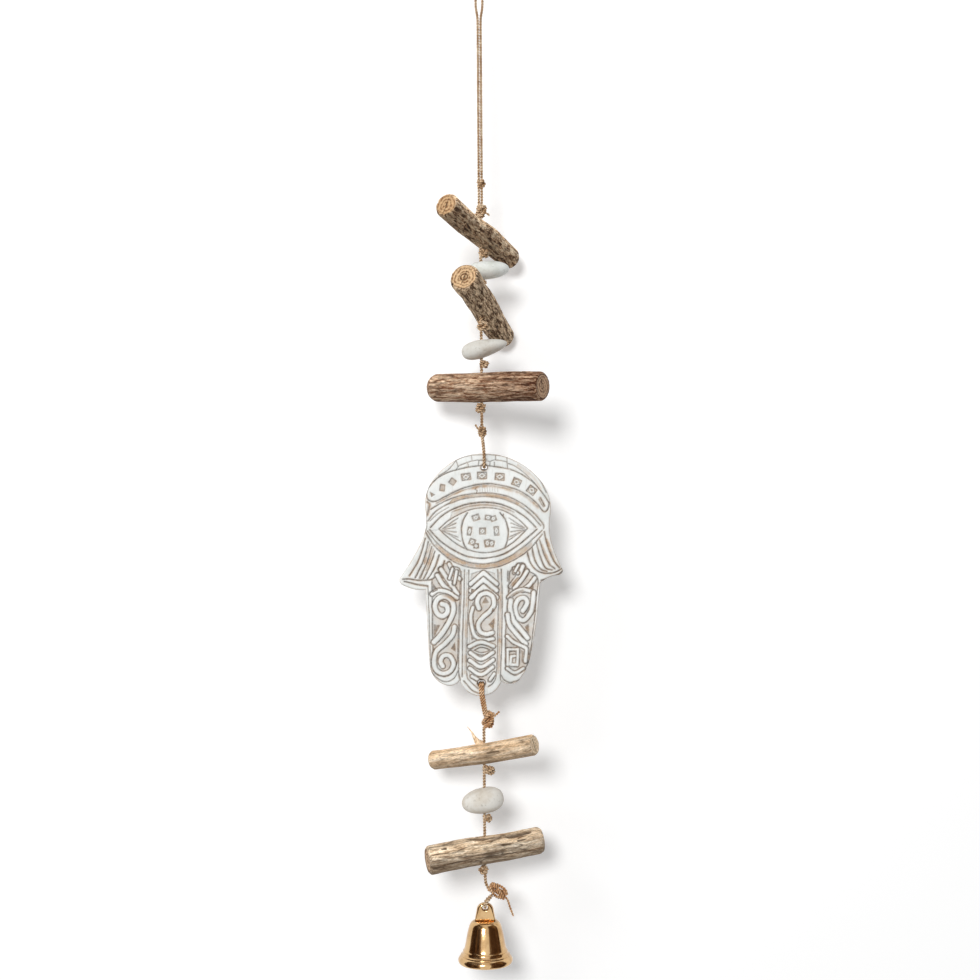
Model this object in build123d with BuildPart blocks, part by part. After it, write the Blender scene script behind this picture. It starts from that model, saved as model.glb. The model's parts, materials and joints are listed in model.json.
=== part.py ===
from build123d import *
import math
import os

# Hanging ornament: a carved wooden hamsa hand, drilled driftwood and pebbles, and a small
# brass bell, all strung on one thin cord. The origin is the middle of the nail it hangs on.
# +Z is up, +X is to the viewer's right and -Y points at the viewer.

os.makedirs("parts", exist_ok=True)

# Cord
cord_diameter = 1.6
cord_radius = cord_diameter / 2
cord_sides = 6
strand_spread = 0.9
knot_bore_gap = 0.02
tail_diameter = 1.4

# Running clearances
seat_gap = 0.3
bore_gap = 0.4

# Nail and hanging loop
nail_diameter = 2.4
loop_rest_gap = 0.1
loop_closing_drop = 11
loop_shoulder_drop = 5

# From the nail down to the first knot, then the bare cord above each piece further down
knot_1_drop = 111.9
knot_2_run = 11.3
stick_1_run = 1.56
pebble_1_run = 3.2
stick_2_run = 0.63
pebble_2_run = 5.2
stick_3_run = 2.34
knot_8_run = 7.44
hand_run = 9.8
knot_9_run = 10.5
stick_4_run = 9.35
pebble_3_run = 6.8
stick_5_run = 7.77
bell_eye_run = 20.03

# Driftwood: reach to each side of the cord, thickness, turn about the cord and slope
stick_1_reach = (42.8, 40.4)
stick_1_thickness = 16.4
stick_1_turn = 59.9
stick_1_slope = -16.3
stick_2_reach = (33.4, 48.0)
stick_2_thickness = 18.6
stick_2_turn = 70.8
stick_2_slope = -22.6
stick_3_reach = (37.2, 44.7)
stick_3_thickness = 19.4
stick_3_turn = -33.0
stick_3_slope = -1.5
stick_4_reach = (38.1, 36.2)
stick_4_thickness = 13.8
stick_4_turn = -28.0
stick_4_slope = 11.9
stick_5_reach = (36.9, 37.3)
stick_5_thickness = 18.6
stick_5_turn = 15.0
stick_5_slope = 6.0

# Pebbles: length, depth, height, side shift of the middle, slope and how much of the
# height is lost at the right end
pebble_1_size = (27.0, 21.0, 12.8)
pebble_1_shift = 4.4
pebble_1_slope = 4.0
pebble_1_thinning = 0.2
pebble_2_size = (29.5, 19.0, 15.0)
pebble_2_shift = 1.9
pebble_2_slope = 13.0
pebble_2_thinning = 0.5
pebble_3_size = (27.0, 21.0, 14.2)
pebble_3_shift = -1.0
pebble_3_slope = 10.0
pebble_3_thinning = -0.25

# Hand
hand_width = 102.0
hand_height = 151.0
hand_thickness = 12.0
hand_shift = 3.4
hand_edge_chamfer = 1.3
outline_run = 4.0
top_hole_diameter = 3.8
bottom_hole_diameter = 4.6
hole_rim_radius = 1.2
groove_width = 1.3
groove_depth = 1.0
fine_groove_width = 1.0
mark_size = 2.8
mark_depth = 0.7
spiral_first_radius = 1.3
spiral_pitch = 1.5

# Bell
bell_rim_radius = 17.0
bell_height = 26.3
bell_wall = 1.5
bell_top_radius = 6.9
lug_height = 11.3
lug_thickness = 5.0
lug_base_half_width = 6.7
lug_waist_half_width = 5.3
lug_waist_height = 7.0
eye_diameter = 3.2
eye_height = 8.4
eye_rim_chamfer = 0.6
bell_knot_shift = 7.4
bell_knot_rise = 9.1
bell_knot_length = 11.6
bell_knot_thickness = 9.0
lower_cord_bend_rise = 6.6
lower_cord_lean = 1.4
lower_cord_lean_rise = 3.0

# Clapper
wire_diameter = 1.2
staple_half_width = 2.4
staple_reach = 4.4
staple_bend = 1.3
clapper_eye_radius = 1.9
clapper_eye_thickness = 1.0
clapper_eye_gap = 0.35
clapper_rod_diameter = 1.4
clapper_length = 19.0
clapper_ball_radius = 3.6
clapper_ball_height = 7.0

# Shared working values
overrun = 2.0
run_share = 0.45


def finish(builder, name):
    """Labels one finished piece and writes it to its own file."""
    builder.part.label = name
    export_step(builder.part, f"parts/{name}.step")


def facet(points):
    return Face(Wire.make_polygon(points, close=True))


def add_rings(base, rings, radius_shares, mode=Mode.ADD):
    """Adds a solid of flat facets through a run of rings, each with its place along the
    base plane's normal, its half width, its half height and its shift to either."""
    count = len(radius_shares)
    corners = []
    for along, half_width, half_height, shift_x, shift_y in rings:
        ring = []
        for step, radius_share in enumerate(radius_shares):
            angle = 2 * math.pi * step / count
            x = shift_x + half_width * radius_share * math.cos(angle)
            y = shift_y + half_height * radius_share * math.sin(angle)
            ring.append(base.from_local_coords(Vector(x, y, along)))
        corners.append(ring)
    facets = [facet(corners[0]), facet(corners[-1])]
    for lower, upper in zip(corners, corners[1:]):
        for step in range(count):
            after = (step + 1) % count
            facets.append(facet([lower[step], lower[after], upper[after]]))
            facets.append(facet([lower[step], upper[after], upper[step]]))
    add(Solid(Shell(facets)), mode=mode)


def bend_radii(points):
    """The largest radius that each corner of a route has room for."""
    radii = []
    for before, corner, after in zip(points, points[1:], points[2:]):
        run_in = Vector(*corner) - Vector(*before)
        run_out = Vector(*after) - Vector(*corner)
        half_turn = math.radians(run_in.get_angle(run_out)) / 2
        shorter = min(run_in.length, run_out.length)
        radii.append(run_share * shorter / math.tan(half_turn))
    return radii


def add_tube(points, radii, diameter):
    """Adds a faceted tube along straight runs joined by tangent arcs."""
    with BuildLine() as route:
        FilletPolyline(*points, radius=radii)
    with BuildSketch(Plane(origin=route.line @ 0, z_dir=route.line % 0)) as section:
        RegularPolygon(diameter / 2, cord_sides)
    sweep(section.sketch, path=route.line)


def add_straight(start, end, diameter):
    """Adds a straight piece of cord from one point to another."""
    run = Vector(*end) - Vector(*start)
    with BuildSketch(Plane(origin=start, z_dir=run)) as section:
        RegularPolygon(diameter / 2, cord_sides)
    extrude(section.sketch, amount=run.length)


# Knots

# Radius of a knot's waist and shoulders, and the heights of a turn's full width
knot_sides = 10
knot_waist_share = 0.62
turn_low_share = 0.28
turn_high_share = 0.72
knot_bore = cord_radius + knot_bore_gap


def add_turns(base, width, height, turns):
    """Adds a stack of turns wound round a cord, upwards from the base plane."""
    outer = width / 2
    waist = outer * knot_waist_share
    pitch = height / turns
    profile = [(0, waist)]
    for turn in range(turns):
        low = turn * pitch
        profile.append((low + pitch * turn_low_share, outer))
        profile.append((low + pitch * turn_high_share, outer))
        profile.append((low + pitch, waist))
    rings = [(along, radius, radius, 0, 0) for along, radius in profile]
    add_rings(base, rings, [1] * knot_sides)


def add_knot(top_drop, width, height, turns, shift=0):
    """Adds a knot whose top is at a distance below the nail."""
    foot = Plane(origin=(shift, 0, -top_drop - height), x_dir=(1, 0, 0), z_dir=(0, 0, 1))
    add_turns(foot, width, height, turns)


def cut_strand_bores(places, bottom_drop, height):
    """Cuts the bores of the strands that a knot is wound on."""
    with BuildSketch(Plane.XY.offset(-bottom_drop)) as section:
        with Locations(*places):
            RegularPolygon(knot_bore, cord_sides)
    extrude(section.sketch, amount=height, mode=Mode.SUBTRACT)


small_knot_width = 6.6
wide_knot_width = 7.4


def stick_half_depth(thickness, slope):
    return thickness / 2 / math.cos(math.radians(slope))


def knot_top_below_stick(drop, thickness, slope, knot_width):
    """A knot's top sits just clear of the sloping underside of the stick that rests on it."""
    slant = knot_width / 2 * knot_waist_share * math.tan(math.radians(abs(slope)))
    return drop + stick_half_depth(thickness, slope) + slant + seat_gap


def pebble_reach(size, shift, slope, thinning):
    """How far a pebble's middle lies below its drop at the hole, and its half depth there."""
    across = shift / (size[0] / 2)
    half_depth = size[2] / 2 * math.sqrt(1 - across**2) * (1 - thinning * (1 - across) / 2)
    tilt = math.radians(slope)
    return shift * math.tan(tilt), half_depth / math.cos(tilt)


def pebble_below(drop, size, shift, slope, thinning):
    """The drop of a pebble whose upper side at its hole is at a given drop."""
    sag, half_depth = pebble_reach(size, shift, slope, thinning)
    return drop + half_depth - sag


def knot_top_below_pebble(drop, size, shift, slope, thinning):
    """A knot's top sits just clear of the pebble's underside at its hole."""
    sag, half_depth = pebble_reach(size, shift, slope, thinning)
    fall = math.tan(math.radians(slope)) + size[2] / size[0] * abs(thinning)
    return drop + sag + half_depth + small_knot_width / 2 * knot_waist_share * fall + seat_gap


knot_3_height = 4.6
knot_4_height = 3.4
knot_5_height = 6.0
knot_6_height = 4.6
knot_7_height = 6.8
knot_10_height = 6.6
knot_11_height = 5.0
knot_12_height = 5.0
knot_1_width = 5.6
knot_1_height = 5.0
knot_2_width = 6.8
knot_2_height = 8.0
knot_8_height = 7.4
knot_9_width = 7.6
knot_9_height = 9.4
knot_9_shift = 1.2

# Distances below the nail, each worked out from the piece above
knot_2_drop = knot_1_drop + knot_1_height + knot_2_run
stick_1_top = knot_2_drop + knot_2_height + stick_1_run
stick_1_drop = stick_1_top + stick_half_depth(stick_1_thickness, stick_1_slope)
knot_3_drop = knot_top_below_stick(stick_1_drop, stick_1_thickness, stick_1_slope, small_knot_width)
pebble_1_top = knot_3_drop + knot_3_height + pebble_1_run
pebble_1_shape = (pebble_1_size, pebble_1_shift, pebble_1_slope, pebble_1_thinning)
pebble_1_drop = pebble_below(pebble_1_top, *pebble_1_shape)
knot_4_drop = knot_top_below_pebble(pebble_1_drop, *pebble_1_shape)
stick_2_top = knot_4_drop + knot_4_height + stick_2_run
stick_2_drop = stick_2_top + stick_half_depth(stick_2_thickness, stick_2_slope)
knot_5_drop = knot_top_below_stick(stick_2_drop, stick_2_thickness, stick_2_slope, wide_knot_width)
pebble_2_top = knot_5_drop + knot_5_height + pebble_2_run
pebble_2_shape = (pebble_2_size, pebble_2_shift, pebble_2_slope, pebble_2_thinning)
pebble_2_drop = pebble_below(pebble_2_top, *pebble_2_shape)
knot_6_drop = knot_top_below_pebble(pebble_2_drop, *pebble_2_shape)
stick_3_top = knot_6_drop + knot_6_height + stick_3_run
stick_3_drop = stick_3_top + stick_half_depth(stick_3_thickness, stick_3_slope)
knot_7_drop = knot_top_below_stick(stick_3_drop, stick_3_thickness, stick_3_slope, small_knot_width)
knot_8_drop = knot_7_drop + knot_7_height + knot_8_run
hand_top_drop = knot_8_drop + knot_8_height + hand_run
knot_9_drop = hand_top_drop + hand_height + knot_9_run
stick_4_top = knot_9_drop + knot_9_height + stick_4_run
stick_4_drop = stick_4_top + stick_half_depth(stick_4_thickness, stick_4_slope)
knot_10_drop = knot_top_below_stick(stick_4_drop, stick_4_thickness, stick_4_slope, wide_knot_width)
pebble_3_top = knot_10_drop + knot_10_height + pebble_3_run
pebble_3_shape = (pebble_3_size, pebble_3_shift, pebble_3_slope, pebble_3_thinning)
pebble_3_drop = pebble_below(pebble_3_top, *pebble_3_shape)
knot_11_drop = knot_top_below_pebble(pebble_3_drop, *pebble_3_shape)
stick_5_top = knot_11_drop + knot_11_height + stick_5_run
stick_5_drop = stick_5_top + stick_half_depth(stick_5_thickness, stick_5_slope)
knot_12_drop = knot_top_below_stick(stick_5_drop, stick_5_thickness, stick_5_slope, small_knot_width)
bell_eye_drop = knot_12_drop + knot_12_height + bell_eye_run

plain_turn_count = 1
double_turn_count = 2
plain_knots = {
    "knot_3": (knot_3_drop, small_knot_width, knot_3_height, plain_turn_count),
    "knot_4": (knot_4_drop, small_knot_width, knot_4_height, plain_turn_count),
    "knot_5": (knot_5_drop, wide_knot_width, knot_5_height, double_turn_count),
    "knot_6": (knot_6_drop, small_knot_width, knot_6_height, plain_turn_count),
    "knot_7": (knot_7_drop, small_knot_width, knot_7_height, double_turn_count),
    "knot_10": (knot_10_drop, wide_knot_width, knot_10_height, double_turn_count),
    "knot_11": (knot_11_drop, small_knot_width, knot_11_height, plain_turn_count),
    "knot_12": (knot_12_drop, small_knot_width, knot_12_height, plain_turn_count),
}
for knot_name, (drop, width, height, turns) in plain_knots.items():
    with BuildPart() as plain_knot:
        add_knot(drop, width, height, turns)
        cut_strand_bores([(0, 0)], drop + height, height)
    finish(plain_knot, knot_name)

# The first two knots hold both strands of the hanging loop, which ends inside the second
strand_bottom_drop = knot_2_drop + knot_2_height / 2
strand_places = [(-strand_spread, 0), (strand_spread, 0)]
loop_knots = {
    "knot_1": (knot_1_drop, knot_1_width, knot_1_height, plain_turn_count),
    "knot_2": (knot_2_drop, knot_2_width, knot_2_height, double_turn_count),
}
for knot_name, (drop, width, height, turns) in loop_knots.items():
    with BuildPart() as loop_knot:
        add_knot(drop, width, height, turns)
        bore_bottom_drop = min(drop + height, strand_bottom_drop)
        cut_strand_bores(strand_places, bore_bottom_drop, height)
    finish(loop_knot, knot_name)

# Hanging loop: both strands run down side by side from the nail into the second knot
loop_radius = nail_diameter / 2 + loop_rest_gap + cord_radius
nail_bend_share = 0.98
left_points = [
    (-strand_spread, 0, -strand_bottom_drop),
    (-strand_spread, 0, -loop_closing_drop),
    (-loop_radius, 0, -loop_shoulder_drop),
    (-loop_radius, 0, loop_radius),
]
right_points = [(-x, y, z) for x, y, z in reversed(left_points)]
loop_side_bends = bend_radii(left_points)
nail_bends = [nail_bend_share * loop_radius] * 2
loop_bends = loop_side_bends + nail_bends + list(reversed(loop_side_bends))
with BuildPart() as hanging_loop:
    add_tube(left_points + right_points, loop_bends, cord_diameter)
finish(hanging_loop, "hanging_loop")

# Upper cord, pulled straight by the weight below, from the second knot to the eighth
with BuildPart() as upper_cord:
    add_straight((0, 0, -knot_8_drop), (0, 0, -knot_2_drop - knot_2_height), cord_diameter)
finish(upper_cord, "upper_cord")


# Driftwood

# Cross sections: radius shares round the stick for furrowed bark, worn bark and bare wood
furrowed_shares = [
    1.00, 0.91, 0.99, 0.90, 0.97, 0.89, 1.00, 0.92, 0.98, 0.90, 1.00, 0.92, 0.97, 0.90, 0.99, 0.91,
]
worn_shares = [1.00, 0.95, 0.98, 0.93, 0.96, 0.99, 0.94, 0.97, 1.00, 0.94, 0.97, 0.93, 0.99, 0.95]
bare_shares = [1.00, 0.98, 0.96, 0.98, 1.00, 0.97, 0.98, 1.00, 0.96, 0.97, 1.00, 0.98, 0.97, 0.98]

# Each stick is a run of rings. A ring has its place along the stick, its size, and how far
# it is pushed aside and up, all as shares of the stick's length and radius.
stick_1_shares = [
    (0.0, 0.90, 0.00, 0.02),
    (0.02, 1.00, 0.00, 0.02),
    (0.30, 0.97, 0.06, -0.03),
    (0.62, 1.02, -0.05, 0.03),
    (0.97, 0.93, 0.00, 0.00),
    (1.0, 0.78, 0.00, 0.00),
]
stick_2_shares = [
    (0.0, 0.98, 0.00, 0.00),
    (0.03, 1.08, 0.00, 0.00),
    (0.20, 0.97, -0.03, 0.02),
    (0.42, 1.00, -0.06, 0.04),
    (0.70, 0.96, 0.04, -0.04),
    (0.96, 0.90, 0.00, 0.00),
    (1.0, 0.72, 0.00, 0.00),
]
stick_3_shares = [
    (0.0, 0.76, 0.00, 0.00),
    (0.04, 0.95, 0.00, 0.00),
    (0.40, 1.00, 0.03, -0.03),
    (0.75, 1.00, 0.00, 0.02),
    (0.98, 0.98, 0.00, 0.00),
    (1.0, 0.88, 0.00, 0.00),
]
stick_4_shares = [
    (0.0, 0.80, 0.00, 0.10),
    (0.02, 0.92, 0.00, 0.10),
    (0.25, 0.94, 0.05, 0.00),
    (0.55, 1.00, -0.04, -0.04),
    (0.98, 1.00, 0.00, 0.04),
    (1.0, 0.90, 0.00, 0.04),
]
stick_5_shares = [
    (0.0, 0.88, 0.00, -0.02),
    (0.02, 1.02, 0.00, -0.02),
    (0.35, 1.00, 0.05, 0.03),
    (0.70, 0.96, 0.00, -0.03),
    (0.97, 0.95, 0.00, 0.03),
    (1.0, 0.84, 0.00, 0.03),
]


def stick_plane(drop, turn, slope):
    """The plane across a stick where the cord runs through it, facing along the stick."""
    flat = math.cos(math.radians(slope))
    along = (
        flat * math.cos(math.radians(turn)),
        flat * math.sin(math.radians(turn)),
        math.sin(math.radians(slope)),
    )
    side = (-math.sin(math.radians(turn)), math.cos(math.radians(turn)), 0)
    return Plane(origin=(0, 0, -drop), x_dir=side, z_dir=along)


def add_stick(drop, reach, thickness, turn, slope, ring_shares, section_shares):
    """Adds a crooked, tapering length of wood."""
    radius = thickness / 2
    length = reach[0] + reach[1]
    rings = [
        (
            along * length - reach[0],
            size * radius,
            size * radius,
            aside * radius,
            up * radius,
        )
        for along, size, aside, up in ring_shares
    ]
    add_rings(stick_plane(drop, turn, slope), rings, section_shares)


def drill_cord_hole(drop, depth):
    """Drills the upright hole that the cord runs through."""
    with BuildSketch(Plane.XY.offset(-drop - depth)) as section:
        Circle(cord_radius + bore_gap)
    extrude(section.sketch, amount=2 * depth, mode=Mode.SUBTRACT)


plain_sticks = {
    "driftwood_1": (
        stick_1_drop, stick_1_reach, stick_1_thickness, stick_1_turn, stick_1_slope,
        stick_1_shares, furrowed_shares,
    ),
    "driftwood_2": (
        stick_2_drop, stick_2_reach, stick_2_thickness, stick_2_turn, stick_2_slope,
        stick_2_shares, furrowed_shares,
    ),
    "driftwood_3": (
        stick_3_drop, stick_3_reach, stick_3_thickness, stick_3_turn, stick_3_slope,
        stick_3_shares, worn_shares,
    ),
}
for stick_name, values in plain_sticks.items():
    with BuildPart() as plain_stick:
        add_stick(*values)
        drill_cord_hole(values[0], values[2])
    finish(plain_stick, stick_name)

# The fourth stick keeps the stub of a side shoot, torn off to a point
shoot_along = -6.6
shoot_base_radius = 2.9
shoot_tip_radius = 0.5
shoot_lean = 5.4
shoot_rise = 14.2
with BuildPart() as driftwood_4:
    add_stick(
        stick_4_drop, stick_4_reach, stick_4_thickness, stick_4_turn, stick_4_slope,
        stick_4_shares, bare_shares,
    )
    shoot_foot = stick_plane(stick_4_drop, stick_4_turn, stick_4_slope).offset(shoot_along)
    add_rings(
        Plane(origin=shoot_foot.origin, x_dir=(1, 0, 0), z_dir=(0, 0, 1)),
        [
            (0, shoot_base_radius, shoot_base_radius, 0, 0),
            (shoot_rise, shoot_tip_radius, shoot_tip_radius, -shoot_lean, 0),
        ],
        [1] * cord_sides,
    )
    drill_cord_hole(stick_4_drop, stick_4_thickness)
finish(driftwood_4, "driftwood_4")

# The fifth stick has a splintered hollow along its upper side, deepest at its left end
hollow_start = 13.0
hollow_length = 21.0
hollow_width = 5.0
hollow_depth = 2.2
with BuildPart() as driftwood_5:
    add_stick(
        stick_5_drop, stick_5_reach, stick_5_thickness, stick_5_turn, stick_5_slope,
        stick_5_shares, bare_shares,
    )
    stick_5_plane = stick_plane(stick_5_drop, stick_5_turn, stick_5_slope)
    hollow_side = Plane(
        origin=stick_5_plane.origin, x_dir=stick_5_plane.z_dir, z_dir=-stick_5_plane.x_dir
    )
    hollow_top = stick_5_thickness / 2
    with BuildSketch(hollow_side):
        with BuildLine():
            Polyline(
                (hollow_start, hollow_top + overrun),
                (hollow_start, hollow_top - hollow_depth),
                (hollow_start + hollow_length, hollow_top + overrun),
                close=True,
            )
        make_face()
    extrude(amount=hollow_width / 2, both=True, mode=Mode.SUBTRACT)
    drill_cord_hole(stick_5_drop, stick_5_thickness)
finish(driftwood_5, "driftwood_5")


# Pebbles

pebble_sides = 16
pebble_ring_count = 7
pebble_end_angle = 76


def add_pebble(drop, size, shift, slope, thinning):
    """Adds a water-worn stone as a run of oval rings, its height changing to the right."""
    length, depth, height = size
    tilt = math.radians(slope)
    along = (math.cos(tilt), 0, math.sin(tilt))
    middle = Plane(origin=(shift, 0, -drop), x_dir=(0, 1, 0), z_dir=along)
    rings = []
    for ring in range(pebble_ring_count):
        place = 2 * ring / (pebble_ring_count - 1) - 1
        angle = math.radians(place * pebble_end_angle)
        half_depth = math.cos(angle) * depth / 2
        half_height = math.cos(angle) * height / 2 * (1 - thinning * (1 + place) / 2)
        rings.append((math.sin(angle) * length / 2, half_depth, half_height, 0, 0))
    add_rings(middle, rings, [1] * pebble_sides)


pebbles = {
    "pebble_1": (pebble_1_drop, pebble_1_shape),
    "pebble_2": (pebble_2_drop, pebble_2_shape),
    "pebble_3": (pebble_3_drop, pebble_3_shape),
}
for pebble_name, (drop, shape) in pebbles.items():
    with BuildPart() as pebble:
        add_pebble(drop, *shape)
        drill_cord_hole(drop, shape[0][2])
    finish(pebble, pebble_name)


# Hand

# Points on the hand are shares of its width, from its middle, and of its height, from its top.
# Each side of the outline is a chain of tangent arcs from the top, with a new heading where a
# thumb meets an outer finger. One more arc goes round the middle finger's tip.
hand_top_share = (-0.028, 0.0)
right_side_shares = [
    (0.193, 0.039), (0.332, 0.122), (0.381, 0.260), (0.393, 0.380), (0.452, 0.478),
    (0.431, 0.503), (0.316, 0.536),
]
left_side_shares = [
    (-0.206, 0.031), (-0.340, 0.114), (-0.380, 0.235), (-0.412, 0.370), (-0.536, 0.507),
    (-0.526, 0.539), (-0.383, 0.561),
]
right_finger_heading_share = (-0.06, -1)
right_finger_shares = [(0.252, 0.843), (0.187, 0.932), (0.077, 0.938)]
left_finger_heading_share = (0.033, -1)
left_finger_shares = [(-0.361, 0.870), (-0.261, 0.955), (-0.178, 0.934)]
middle_finger_tip_share = (-0.046, 1.0)
top_hole_share = (-0.021, 0.060)
bottom_hole_share = (-0.046, 0.946)

# The eye: left corner, top, right corner and bottom of each almond
outer_ring_shares = [(-0.359, 0.311), (-0.034, 0.166), (0.340, 0.311), (-0.034, 0.472)]
outer_ring_core_shares = [(-0.322, 0.311), (-0.034, 0.182), (0.304, 0.311), (-0.034, 0.451)]
inner_ring_shares = [(-0.307, 0.313), (-0.034, 0.203), (0.285, 0.313), (-0.034, 0.437)]
inner_ring_core_shares = [(-0.285, 0.313), (-0.034, 0.217), (0.261, 0.313), (-0.034, 0.422)]
eye_white_shares = [(-0.261, 0.315), (-0.028, 0.230), (0.230, 0.315), (-0.028, 0.412)]
iris_centre_share = (-0.025, 0.319)
iris_width_share = 0.29
iris_height_share = 0.235
eye_mark_shares = [
    (-0.034, 0.321), (-0.077, 0.263), (0.021, 0.263), (-0.107, 0.316), (0.052, 0.321),
    (-0.089, 0.371), (0.009, 0.375),
]

# The band across the wrist, with its row of marks
band_line_shares = [
    [(-0.359, 0.147), (-0.034, 0.052), (0.355, 0.190)],
    [(-0.353, 0.201), (-0.034, 0.128), (0.340, 0.246)],
    [(-0.212, 0.068), (-0.028, 0.034), (0.142, 0.047)],
]
band_mark_shares = [
    (-0.279, 0.137), (-0.215, 0.114), (-0.132, 0.099), (-0.031, 0.094), (0.074, 0.099),
    (0.172, 0.118), (0.267, 0.155),
]

# Flutes of the two thumbs
thumb_line_shares = [
    [(-0.371, 0.350), (-0.418, 0.424), (-0.478, 0.487)],
    [(-0.356, 0.371), (-0.394, 0.445), (-0.440, 0.497)],
    [(-0.337, 0.391), (-0.363, 0.453), (-0.403, 0.501)],
    [(-0.316, 0.412), (-0.332, 0.462), (-0.365, 0.500)],
    [(-0.505, 0.509), (-0.383, 0.530), (-0.298, 0.440)],
    [(0.328, 0.362), (0.347, 0.404), (0.383, 0.441)],
    [(0.304, 0.387), (0.322, 0.429), (0.353, 0.462)],
    [(0.279, 0.406), (0.294, 0.445), (0.328, 0.480)],
    [(0.255, 0.429), (0.322, 0.499), (0.430, 0.487)],
]

# Straight-sided frames round the three finger panels, and the ribs between the fingers
finger_frame_shares = [
    [(-0.344, 0.573), (-0.337, 0.834), (-0.267, 0.928), (-0.193, 0.834), (-0.172, 0.500)],
    [(-0.113, 0.491), (-0.132, 0.855), (-0.046, 0.985), (0.040, 0.855), (0.064, 0.491)],
    [(0.120, 0.499), (0.098, 0.834), (0.156, 0.925), (0.230, 0.834), (0.291, 0.575)],
]
rib_line_shares = [
    [(-0.141, 0.487), (-0.163, 0.925)],
    [(0.089, 0.487), (0.064, 0.925)],
]

# Scrolls, leaves and chevrons on the fingers
scroll_line_shares = [
    [(-0.310, 0.511), (-0.225, 0.574)],
    [(0.144, 0.582), (0.255, 0.511)],
    [(-0.218, 0.660), (-0.246, 0.720), (-0.318, 0.793)],
    [(0.140, 0.680), (0.176, 0.730), (0.240, 0.780)],
    [(-0.100, 0.752), (-0.034, 0.774), (0.032, 0.752)],
]
chevron_up_shares = [(-0.090, 0.549), (-0.027, 0.507), (0.045, 0.549)]
chevron_down_shares = [(-0.107, 0.852), (-0.040, 0.880), (0.021, 0.852)]
chevron_pitch_share = 0.033
chevron_count = 3
hook_line_shares = [
    (0.126, 0.805), (0.190, 0.805), (0.190, 0.873), (0.132, 0.873), (0.132, 0.838), (0.163, 0.838),
]
spiral_shares = [(-0.262, 0.633), (-0.262, 0.862), (0.192, 0.640)]
spiral_turns = [1, 1, -1]
spiral_step_count = 12
spiral_steps_a_turn = 7


def on_hand(point_share):
    """A point on the carved face, in millimetres, from its shares."""
    across_share, down_share = point_share
    return (
        hand_shift + across_share * hand_width,
        -hand_top_drop - down_share * hand_height,
    )


def short_runs(arc):
    """An arc's points at short equal steps, without its far end."""
    runs = max(2, round(arc.length / outline_run))
    return [arc @ (run / runs) for run in range(runs)]


def tangent_chain(start_share, heading, point_shares):
    """The points along a chain of tangent arcs, without its far end."""
    here = on_hand(start_share)
    along = heading
    points = []
    for point in point_shares:
        arc = TangentArc(here, on_hand(point), tangent=along, mode=Mode.PRIVATE)
        points += short_runs(arc)
        here = on_hand(point)
        along = arc % 1
    return points


def half_outline(side, side_shares, finger_heading, finger_shares):
    """The points down one side of the hand, from its top to the web beside the middle finger."""
    return tangent_chain(hand_top_share, (side, 0), side_shares) + tangent_chain(
        side_shares[-1], finger_heading, finger_shares
    )


def add_arc(point_shares):
    """Adds one arc through three points, or a straight line through two."""
    points = [on_hand(point) for point in point_shares]
    if len(points) == 2:
        Line(*points)
    else:
        ThreePointArc(*points)


def add_almond(corner_shares, mode=Mode.ADD):
    """Adds the pointed oval through its left corner, top, right corner and bottom."""
    left, top, right, bottom = corner_shares
    with BuildLine() as almond:
        add_arc([left, top, right])
        add_arc([right, bottom, left])
    make_face(almond.edges(), mode=mode)


def add_groove(point_shares, width):
    """Adds the footprint of one carved line."""
    with BuildLine() as stroke:
        add_arc(point_shares)
    trace(stroke.line, line_width=width)


def add_bent_groove(point_shares, width):
    """Adds the footprint of a carved line with corners."""
    with BuildLine() as stroke:
        Polyline(*[on_hand(point) for point in point_shares])
    trace(stroke.line, line_width=width)


def add_frame(point_shares, width):
    """Adds the footprint of a long U: two straight sides and a round end."""
    left_top, left_low, end, right_low, right_top = [on_hand(point) for point in point_shares]
    with BuildLine() as stroke:
        Line(left_top, left_low)
        ThreePointArc(left_low, end, right_low)
        Line(right_low, right_top)
    trace(stroke.line, line_width=width)


def add_spiral(centre_share, turn, width):
    """Adds the footprint of a scroll made of short straight cuts that wind outwards."""
    x, z = on_hand(centre_share)
    points = []
    for step in range(spiral_step_count + 1):
        angle = turn * 2 * math.pi * step / spiral_steps_a_turn
        radius = spiral_first_radius + step * spiral_pitch / spiral_steps_a_turn * 2
        points.append((x + radius * math.cos(angle), z + radius * math.sin(angle)))
    with BuildLine() as stroke:
        Polyline(*points)
    trace(stroke.line, line_width=width)


hand_face = Plane.XZ.offset(hand_thickness / 2)
top_hole_x, top_hole_z = on_hand(top_hole_share)
bottom_hole_x, bottom_hole_z = on_hand(bottom_hole_share)


def cut_cord_hole(x, z, diameter):
    """Cuts a hole through the board, its rims eased for the cord that bears on them."""
    radius = diameter / 2
    half = hand_thickness / 2
    wide = radius + hole_rim_radius
    bulge = hole_rim_radius * (1 - math.cos(math.radians(45)))
    with BuildSketch(Plane(origin=(x, 0, z), x_dir=(1, 0, 0), z_dir=(0, 0, 1))) as profile:
        with BuildLine():
            Polyline(
                (radius, -half + hole_rim_radius), (radius, half - hole_rim_radius),
                (radius + bulge, half - bulge), (wide, half), (wide, half + overrun),
                (0, half + overrun), (0, -half - overrun), (wide, -half - overrun),
                (wide, -half), (radius + bulge, -half + bulge), close=True,
            )
        make_face()
    revolve(profile.sketch, axis=Axis((x, 0, z), (0, 1, 0)), mode=Mode.SUBTRACT)


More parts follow.
